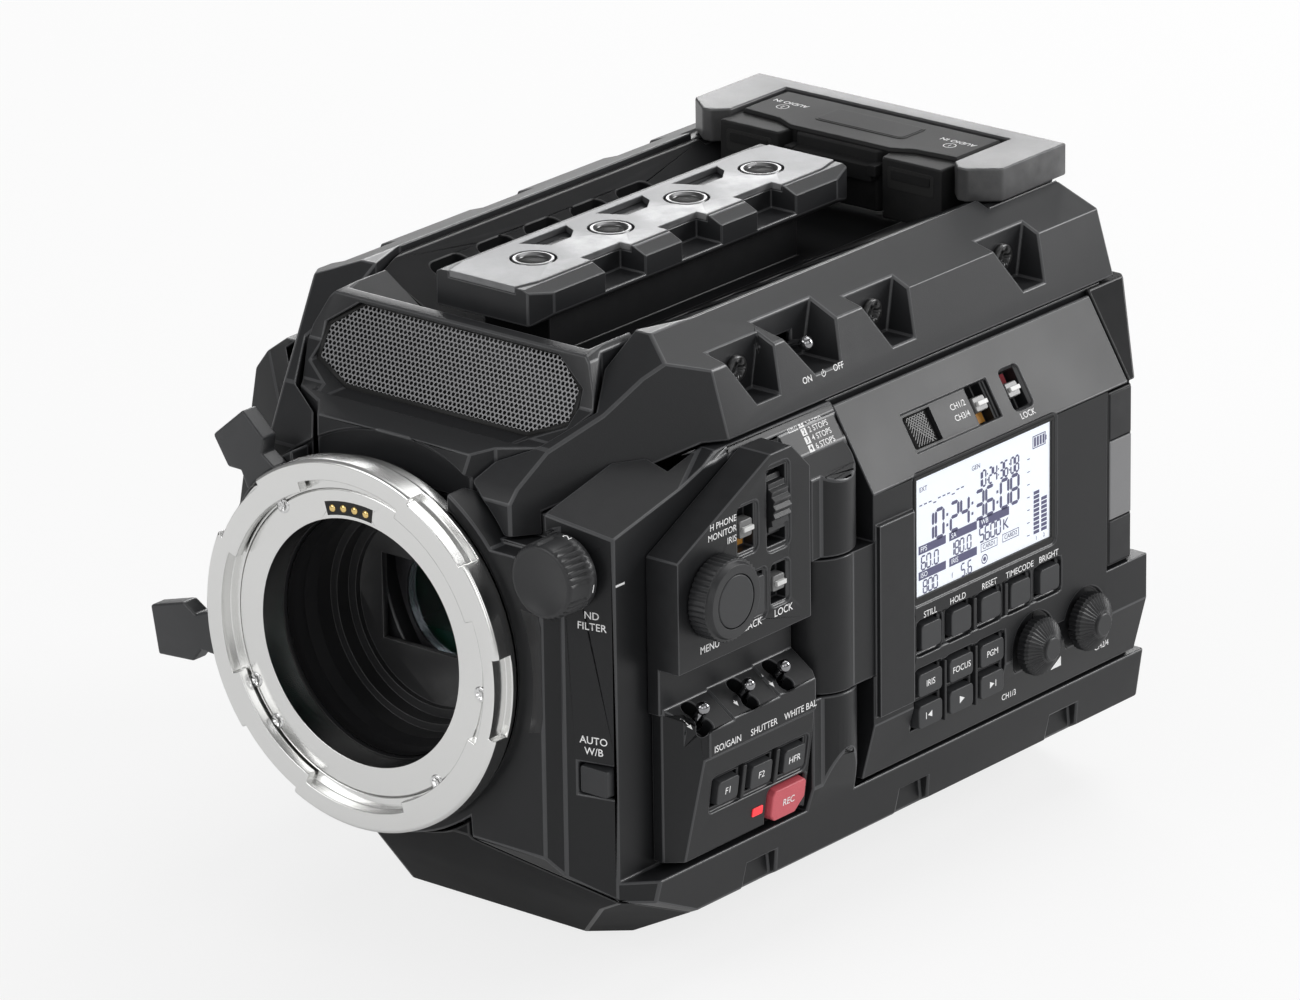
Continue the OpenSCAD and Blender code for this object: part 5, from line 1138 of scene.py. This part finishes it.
def bar(u0, v0, u1, v1, thick):
    """A bar with pointed ends between two points that share a row or a column."""
    h = thick / 2
    if abs(u1 - u0) > abs(v1 - v0):
        return [(u0, v0), (u0 + h, v0 - h), (u1 - h, v0 - h), (u1, v0), (u1 - h, v0 + h), (u0 + h, v0 + h)]
    return [(u0, v0), (u0 + h, v0 + h), (u0 + h, v1 - h), (u0, v1), (u0 - h, v1 - h), (u0 - h, v0 + h)]


def digits(text, left, top, tall, narrow=1.0):
    polygons = []
    wide = tall * 0.42 * narrow
    thick = tall * 0.13
    gap = thick * 0.12
    low, middle, high = -top - tall, -top - tall / 2, -top
    for letter in text:
        if letter in ":.":
            ups = (0.3, 0.68) if letter == ":" else (0.06,)
            for share in ups:
                polygons.append(box_points(left, low + tall * share - thick * 0.4, thick * 0.8,
                                           thick * 0.8))
            left += tall * 0.25 * narrow
            continue
        right = left + wide
        lines = {"a": (left + gap, high, right - gap, high), "g": (left + gap, middle, right - gap, middle),
                 "d": (left + gap, low, right - gap, low), "f": (left, middle + gap, left, high - gap),
                 "b": (right, middle + gap, right, high - gap), "e": (left, low + gap, left, middle - gap),
                 "c": (right, low + gap, right, middle - gap)}
        for key in SEGMENTS[letter]:
            polygons.append(bar(*lines[key], thick))
        left += tall * 0.58 * narrow
    return polygons


print("segments of an 8:", len(digits("8", 0, 0, 1)))

# %% [markdown]
# The readout is then a list of flat polygons: digits, the bars under the headings, two level meters and a
# battery. Words on the display are printed as those on the paint are.

# %% The readout
ink = digits("10:24:36:08", 3.4, 8.7, 6.2, 1.0)
ink += digits("10:24:36:08", 21.6, 4.5, 3.5, 0.78)
ink += [box_points(1.3 + 1.6 * i, -6.2 - (0.6 if i % 4 == 3 else 0), 1.0, 0.28) for i in range(10)]
for text, left, top, tall, narrow in (("60.0", 2.0, 17.6, 3.0, 1.05), ("180.0", 11.9, 17.6, 3.0, 1.0),
                                      ("5600", 22.2, 17.2, 3.2, 1.05), ("800", 2.6, 23.2, 2.8, 1.1),
                                      ("5.6", 15.8, 23.4, 2.8, 1.0)):
    ink += digits(text, left, top, tall, narrow)
ink += [box_points(1.0, -17.0, 9.4, 1.9), box_points(11.6, -17.0, 9.6, 1.9),
        box_points(22.0, -17.0, 10.5, 1.9), box_points(1.0, -22.8, 9.4, 1.9),
        box_points(11.6, -22.8, 9.6, 1.9)]
ink += frame_bars(22.6, -22.8, 5.8, 1.9, 0.16) + frame_bars(30.2, -22.8, 5.8, 1.9, 0.16)
ink += arc_band(23.9, -24.6, 0.85, 1.1, 0, 360) + [circle(23.9, -24.6, 0.5, 16)]
ink += frame_bars(40.8, -4.7, 4.6, 2.9, 0.22)
ink += [box_points(41.3 + 1.0 * i, -4.3, 0.7, 2.1) for i in range(4)]
ink += [box_points(45.4, -3.8, 0.35, 1.1)]
for column, level in ((41.2, 10), (43.9, 8)):
    ink += [box_points(column, -24.2 + 1.0 * i, 2.0, 0.76) for i in range(level)]
ink += [box_points(38.9, -24.0 + 2.9 * i, 0.9, 0.2) for i in range(7)]
shapes("lcd_ink", lcd_face, ink, DOOR, "display_lit", "lcd_ink")
printed("lcd_words", lcd_face, [
    ("EXT", 1.3, -2.6, 1.5, "LEFT"), ("GEN", 19.4, -3.0, 1.5, "LEFT"), ("K", 30.2, -18.9, 3.4, "LEFT"),
    ("CARD1", 25.5, -21.85, 1.4), ("CARD2", 33.1, -21.85, 1.4), ("f", 12.6, -25.0, 1.6),
    ("1", 42.2, -25.3, 1.3), ("2", 44.9, -25.3, 1.3)], DOOR, "display_lit", "lcd_ink")
printed("lcd_headings", lcd_face, [
    ("FPS", 1.6, -16.05, 1.6, "LEFT"), ("SA", 12.2, -16.05, 1.6, "LEFT"), ("WB", 22.6, -16.05, 1.6, "LEFT"),
    ("ISO", 1.6, -21.85, 1.6, "LEFT"), ("IRIS", 12.2, -21.85, 1.6, "LEFT")], DOOR, "display_lit",
    "display_lit", lift=0.06)
built("lcd_gasket", door_side, [(box_points(2.5, 66.3, 48.8, 0.8), -0.6, -0.2),
                                (box_points(2.5, 93.7, 48.8, 0.8), -0.6, -0.2),
                                (box_points(2.5, 67.1, 0.8, 26.6), -0.6, -0.2),
                                (box_points(50.5, 67.1, 0.8, 26.6), -0.6, -0.2)],
      DOOR, "body_paint", "black_gasket_and_painted_shade", 0.08)
print("bars on the display:", len(ink))

# %% [markdown]
# The door closes against a fixed strip of three pads at its rear end, the middle one in a lighter grey.
# They are low prisms with soft edges on the rear cover.

# %% Strip behind the door
built("strip_pads", strip_side,
      [(box_points(71.4, 54.6, 7.7, 9.8), -0.3, 0.25), (box_points(71.4, 83.2, 7.7, 10.5), -0.3, 0.25)],
      edge=0.25)
built("strip_middle", strip_side, [(box_points(71.4, 64.8, 7.7, 18.0), -0.3, 0.3)], material="strip_grey",
      edge=0.25)
print("strip is done")

# %% [markdown]
# ## The lens mount's fittings
#
# Four spring contacts stand in a black insulator at the top of the seat. Small pan screws hold the seat
# ring. Inside the throat, fine turned ridges stop light from bouncing to the sensor. Pins, screws and
# ridges are round, so they are turned from rings: the ridges are wide and narrow rings by turns.

# %% Contacts, screws and ridges of the mount
def clock(radius, degrees):
    """A place on a circle, clockwise from the top."""
    angle = math.radians(degrees)
    return radius * math.sin(angle), radius * math.cos(angle)


def sector(inner, outer, start, stop, steps):
    turns = [start + (stop - start) * i / steps for i in range(steps + 1)]
    return [clock(outer, a) for a in turns[::-1]] + [clock(inner, a) for a in turns]


PIN_ANGLES = [-13, -7, -1, 5]
PIN_CIRCLE = 29.2
SCREW_CIRCLE = 33.0
SCREW_ANGLES = (-38, -117, -134, 142, 44, 96)
NOSE_RADIUS = 43.6
PIN_RINGS = [(0.85, 0.0), (0.85, 0.12), (0.62, 0.3), (0.3, 0.4), (0.05, 0.42)]
SCREW_RINGS = screw_rings(1.7, 0.25, 0.62, 0.22)
shapes("contact_slot", seat_face,
       [sector(27.75, 30.75, -16.5 + 25 * i / 8, -16.5 + 25 * (i + 1) / 8, 3) for i in range(8)],
       ROOT, "mount_steel", "black_gasket_and_painted_shade")
turned_piece("contact_pins", seat_face, [(*clock(PIN_CIRCLE, a), PIN_RINGS) for a in PIN_ANGLES],
             ROOT, "mount_steel", "pin_gold", count=20)
turned_piece("mount_screws", seat_face, [(*clock(SCREW_CIRCLE, a), SCREW_RINGS) for a in SCREW_ANGLES],
             ROOT, "mount_steel", "screw_steel", count=48)
ridge_rings = [(26.75 if step % 2 else 26.35, -7.2 - 0.25 * step) for step in range(64)]
turned_piece("throat_ridges", seat_face, [(0, 0, ridge_rings)], ROOT, "throat_black", count=96,
             closed=False)
inset = [(math.sqrt(NOSE_RADIUS ** 2 - (z - LENS_UP) ** 2), z) for z in range(60, 88, 3)]
nose_front = face_place((0, -91, 0), (1, 0, 0), (0, 0, 1))
shapes("nose_inset", nose_front,
       [[inset[0], (45.4, 60.8), (45.9, 64), (45.9, 84), (45.2, 86.4)] + inset[::-1][:-1]],
       material="gloss_black", lift=0.04)
print("mount fittings are done")

# %% [markdown]
# ## Filter knob
#
# The knob has ribs on its front two thirds with four smooth lands, and a smooth band at its root that
# carries the numbers 1 to 4. A white tick on the housing marks the number in use. The radius of its rings
# changes round the axis, which gives ribs and lands in one piece. The numbers ride on the knob.

# %% Filter knob, its numbers and the tick
LAND = -11
LAND_HALF = 14
KNOB_X, KNOB_Y, KNOB_Z = 50.252, -87.6, 96.274
KNOB_RADIUS = 8.3
KNOB_POINTS = 144
KNOB_RIB = 0.7
knob_base = face_place((KNOB_X, KNOB_Y, KNOB_Z), (1, 0, 0), (0, 0, 1))


def knob_ribs(radius):
    def at(i):
        angle = (360 * i / KNOB_POINTS - LAND + 45) % 90 - 45
        return radius - (0.3 if abs(angle) < LAND_HALF else KNOB_RIB * (i % 4 > 1))
    return at


knob_piece = turned_piece("filter_knob", knob_base, [(0, 0, [
    (8.0, 0.2), (8.27, 0.4), (8.27, 2.5), (knob_ribs(8.25), 2.7), (knob_ribs(8.2), 7.4), (7.75, 8.0),
    (7.4, 8.3), (6.9, 8.36), (6.7, 8.2)])], *home("nd_knob"), count=KNOB_POINTS)
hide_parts("nd_knob")
for number in range(4):
    angle = math.radians(LAND + 90 * number)
    side_x = KNOB_X + KNOB_RADIUS * math.cos(angle)
    side_z = KNOB_Z + KNOB_RADIUS * math.sin(angle)
    spot = face_place((side_x, KNOB_Y, side_z), (0, 1, 0), (-math.sin(angle), 0, math.cos(angle)))
    printed("knob_number_%d" % (number + 1), spot, [(str(number + 1), -1.45, 0, 2.6)], "filter_knob",
            "knob_plastic")
pod_side = face_place((60, 0, 0), (0, 1, 0), (0, 0, 1))
shapes("knob_tick", pod_side, [box_points(-83.9, 93.8, 2.9, 0.5)], material="print_white", lift=0.05)
print("filter knob is done")

# %% [markdown]
# ## Screws in the shoulder notches, arrows by the toggles
#
# Each notch in the shoulder is there so that a screwdriver reaches a black screw. One turned screw is
# placed on every wall. The arrows beside the toggles say that these spring up and down.

# %% Shoulder screws and arrows
for side in (1, -1):
    wall_place = face_place((49.5 * side, 0, 0), (0, side, 0), (0, 0, 1))
    turned_piece("shoulder_screws_" + ("near" if side == 1 else "far"), wall_place,
                 [(y * side, 124.3, screw_rings(2.9, 1.2, 0.6, 0.8)) for y in (-32, 13.5, 59)], ROOT,
                 "cover_paint", "screw_black", count=48)
slope = (-math.cos(SHELF), 0, math.sin(SHELF))
for count, y in enumerate((-70.5, -55.4, -43.6)):
    spot = face_place((66.9, y, 61.9 + 0.5 * count), (0, 1, 0), slope)
    shapes("toggle_arrow_%d" % (count + 1), spot, [
        [(-0.62, 1.0), (0.62, 1.0), (0, 2.2)], box_points(-0.12, 0.15, 0.24, 0.8),
        box_points(-0.12, -0.95, 0.24, 0.8), [(-0.62, -1.0), (0, -2.2), (0.62, -1.0)]], lift=0.05)
print("screws and arrows are done")

# %% [markdown]
# ## The mesh over the fan
#
# The front grille is a punched sheet of small hexagons. A Boolean for a thousand holes would be slow, and
# a see-through texture would look thin. So the webs are drawn round each hole with a short wall behind,
# kept to the outline of the opening, with a black sheet behind them as painted shade for the dark inside,
# and a folded rim.

# %% Front grille
GRILLE_HALF = 35
GRILLE_TALL = 18.6
GRILLE = [(-25, 0), (25, 0), (35, 4.65), (35, 12.65), (27, 18.92), (-27, 18.92), (-35, 12.65), (-35, 4.65)]


def inside_outline(u, v, outline):
    count = len(outline)
    for i in range(count):
        (u0, v0), (u1, v1) = outline[i], outline[(i + 1) % count]
        if (u1 - u0) * (v - v0) - (v1 - v0) * (u - u0) < 0:
            return False
    return True


def hexagon_webs(outline, pitch, hole):
    """Hexagons in staggered rows, each with a rim of metal and the wall of its hole."""
    work = bmesh.new()
    room = grown(outline, -0.75)
    row = 0
    v = 0.6
    while v < GRILLE_TALL:
        u = -GRILLE_HALF + (pitch / 2 if row % 2 else 0)
        while u < GRILLE_HALF:
            if inside_outline(u, v, room):
                rims = []
                for radius in (pitch / math.sqrt(3), hole):
                    rims.append([work.verts.new((u + radius * math.sin(math.pi * k / 3),
                                                 v + radius * math.cos(math.pi * k / 3),
                                                 -0.1)) for k in range(6)])
                floor_rim = [work.verts.new((vert.co.x, vert.co.y, -0.5)) for vert in rims[1]]
                for k in range(6):
                    n = (k + 1) % 6
                    work.faces.new((rims[0][n], rims[0][k], rims[1][k], rims[1][n]))
                    work.faces.new((rims[1][n], rims[1][k], floor_rim[k], floor_rim[n]))
            u += pitch
        v += pitch * math.sqrt(3) / 2
        row += 1
    made = bpy.data.objects.new("grille_webs", mesh_on("grille_webs", work, grille_face))
    return dress(link(made), ROOT, "grille_metal", "web_metal")


webs = hexagon_webs(GRILLE, 1.15, 0.47)
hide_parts("front_grille")
# A black sheet behind the webs: painted shade for the dark seen through the holes.
built("grille_painted_shade_sheet", grille_face, [(grown(GRILLE, -0.1), -0.95, -0.6)], ROOT, "grille_metal",
      "black_gasket_and_painted_shade", 0.0)
inner = grown(GRILLE, -1.0)
corners = [(i, (i + 1) % 8) for i in range(8)]
rim_parts = [([GRILLE[i], GRILLE[n], inner[n], inner[i]], -0.6, 0.0) for i, n in corners]
built("grille_rim", grille_face, rim_parts, ROOT, "grille_metal", "black_gasket_and_painted_shade", 0.0)
print("grille holes:", len(webs.data.polygons) // 12)

# %% [markdown]
# ## Threaded inserts of the rail
#
# Steel bushes with a chamfered thread sit in the rail, with a gap round each that a black ring fills as
# painted shade. A true helix isn't seen at this size, so the thread is a stack of rings, wide and narrow by
# turns.

# %% Rail inserts
rail_face = face_place((0, 0, RAIL_TOP), (1, 0, 0), (0, 1, 0))
HOLE_Y = [-37.3 + 25.4 * i for i in range(4)]
insert_rings = [(4.55, -5.0), (4.55, -0.12), (4.4, 0.0), (3.75, 0.0), (3.4, -0.45)]
for step in range(12):
    insert_rings.append((3.35 if step % 2 else 3.0, -0.7 - 0.32 * step))
insert_rings.append((0.05, -4.8))
bushes = turned_piece("rail_bushes", rail_face, [(0, y, insert_rings) for y in HOLE_Y], ROOT,
                      "insert_steel", None, count=64)
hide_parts("rail_inserts")
# A black ring in each gap: painted shade.
built("bush_gap_painted_shade", rail_face, [(circle(0, y, 4.98, 64), -5.2, -0.6) for y in HOLE_Y], ROOT, "insert_steel",
      "black_gasket_and_painted_shade", 0.0)
print("inserts:", len(HOLE_Y))

# %% [markdown]
# ## Cover of the audio sockets
#
# A rubber cover lies in the metal frame over the two audio sockets. Its top carries a bare plate and the
# words for the sockets, which are read from behind. Its front has a pull bar and two windows with a
# latch. It could be carved from one block, but prisms laid on each other are easier to move.

# %% Audio cover
audio_base = face_place((0, 0, AUDIO_FLOOR), (1, 0, 0), (0, 1, 0))
HALF, FRONT, DEEP = 30.7, 64.0, 22.2
share_list = [(0.36, 0.05), (0.4, 0.14), (0.44, 0.14), (0.47, -0.06), (1, -0.06), (1, 1)]
right_side = [(a * HALF, FRONT + b * DEEP) for a, b in share_list]
outline = right_side + [(-u, v) for u, v in right_side[::-1]]
body_piece = built("audio_rubber_body", audio_base, [(outline, -7.5, 6.4)], ROOT, "audio_rubber", None, 0.5)
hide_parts("audio_cover")
lid = [(-14, 66.2), (14, 66.2), (19, 68.6), (29.8, 69.4), (29.8, 85.6), (-29.8, 85.6), (-29.8, 69.4),
       (-19, 68.6)]
built("audio_rubber_lid", audio_base, [(lid, 6.4, 7.35, -0.4)], ROOT, "audio_rubber", None, 0.3)
built("audio_bare_plate", audio_base, [(rounded(0, 77.2, 25, 9.5, 1.6), 7.3, 7.5, -0.2)], ROOT,
      "audio_rubber", "black_gasket_and_painted_shade", 0.08)
built("audio_bare_plate_top", audio_base, [(rounded(0, 77.2, 24, 8.5, 1.3), 7.4, 7.6, -0.2)], ROOT,
      "audio_rubber", None, 0.08)
printed("words_audio", cover_top, [("AUDIO IN", 23.2, -0.6, 2.1), ("AUDIO IN", -23.2, -0.6, 2.1),
                                   ("2", 23.2, 2.5, 1.7), ("1", -23.2, 2.5, 1.7)], ROOT, "audio_rubber",
        lift=-0.57)
shapes("audio_rings", cover_top,
       arc_band(23.2, 2.5, 1.3, 1.5, 0, 360) + arc_band(-23.2, 2.5, 1.3, 1.5, 0, 360), ROOT,
       "audio_rubber", lift=-0.57)
audio_front = face_place((0, FRONT - 0.06 * DEEP, AUDIO_FLOOR), (1, 0, 0), (0, 0, 1))
for side in (-1, 1):
    tag = "near" if side == 1 else "far"
    built("audio_window_" + tag, audio_front, [(rounded(side * 22.4, 2.2, 12.6, 5.0, 0.7), -0.1, 0.12)],
          ROOT, "audio_rubber", "black_gasket_and_painted_shade", 0.08)
    built("audio_latch_" + tag, audio_front, [(rounded(side * 22.4, 3.0, 10.6, 2.2, 0.4), 0.0, 0.4)], ROOT,
          "audio_rubber", None, 0.12)
built("audio_pull_bar", audio_front,
      [(rounded(0, 1.6, 23, 4.6, 0.8), -3.4, -0.4, -0.5), (rounded(11.6, 2.6, 2.2, 2.6, 0.4), -3.4, 0.1),
                                     (rounded(-11.6, 2.6, 2.2, 2.6, 0.4), -3.4, 0.1)], ROOT, "audio_rubber",
                                     None, 0.2)
print("audio cover is done")

# %% [markdown]
# ## Vent on the far side
#
# On the side away from the operator the housing is open behind the nose. A louvred plate closes that
# opening: a sunk sheet with slanting slats, made as prisms on the slanting face. The sheet behind the
# slats is black, a painted shade for the dark inside of the opening, and the slats are black as well.

# %% Louvred vent
vent_face = face_place((-67.6, -49.2, 0), (10.4, -14, 0), (0, 0, 1))
SLAT_PITCH = 5.2
slats = [(box_points(1.5, 38 + SLAT_PITCH * i, 14.2, 2.6), -2.2, -1.0, -0.3) for i in range(12)]
# The black sheet is painted shade for the dark opening.
built("side_vent", vent_face, [(box_points(-1.0, 31, 19.5, 73), -3.4, -2.2)] + slats,
      material="black_gasket_and_painted_shade", edge=0.2)
print("slats:", len(slats))

# %% [markdown]
# ## Sizes
# The dressed camera should be no larger than the engineering model.
# they can be compared after each render.

# %% Finish
bpy.context.view_layer.update()
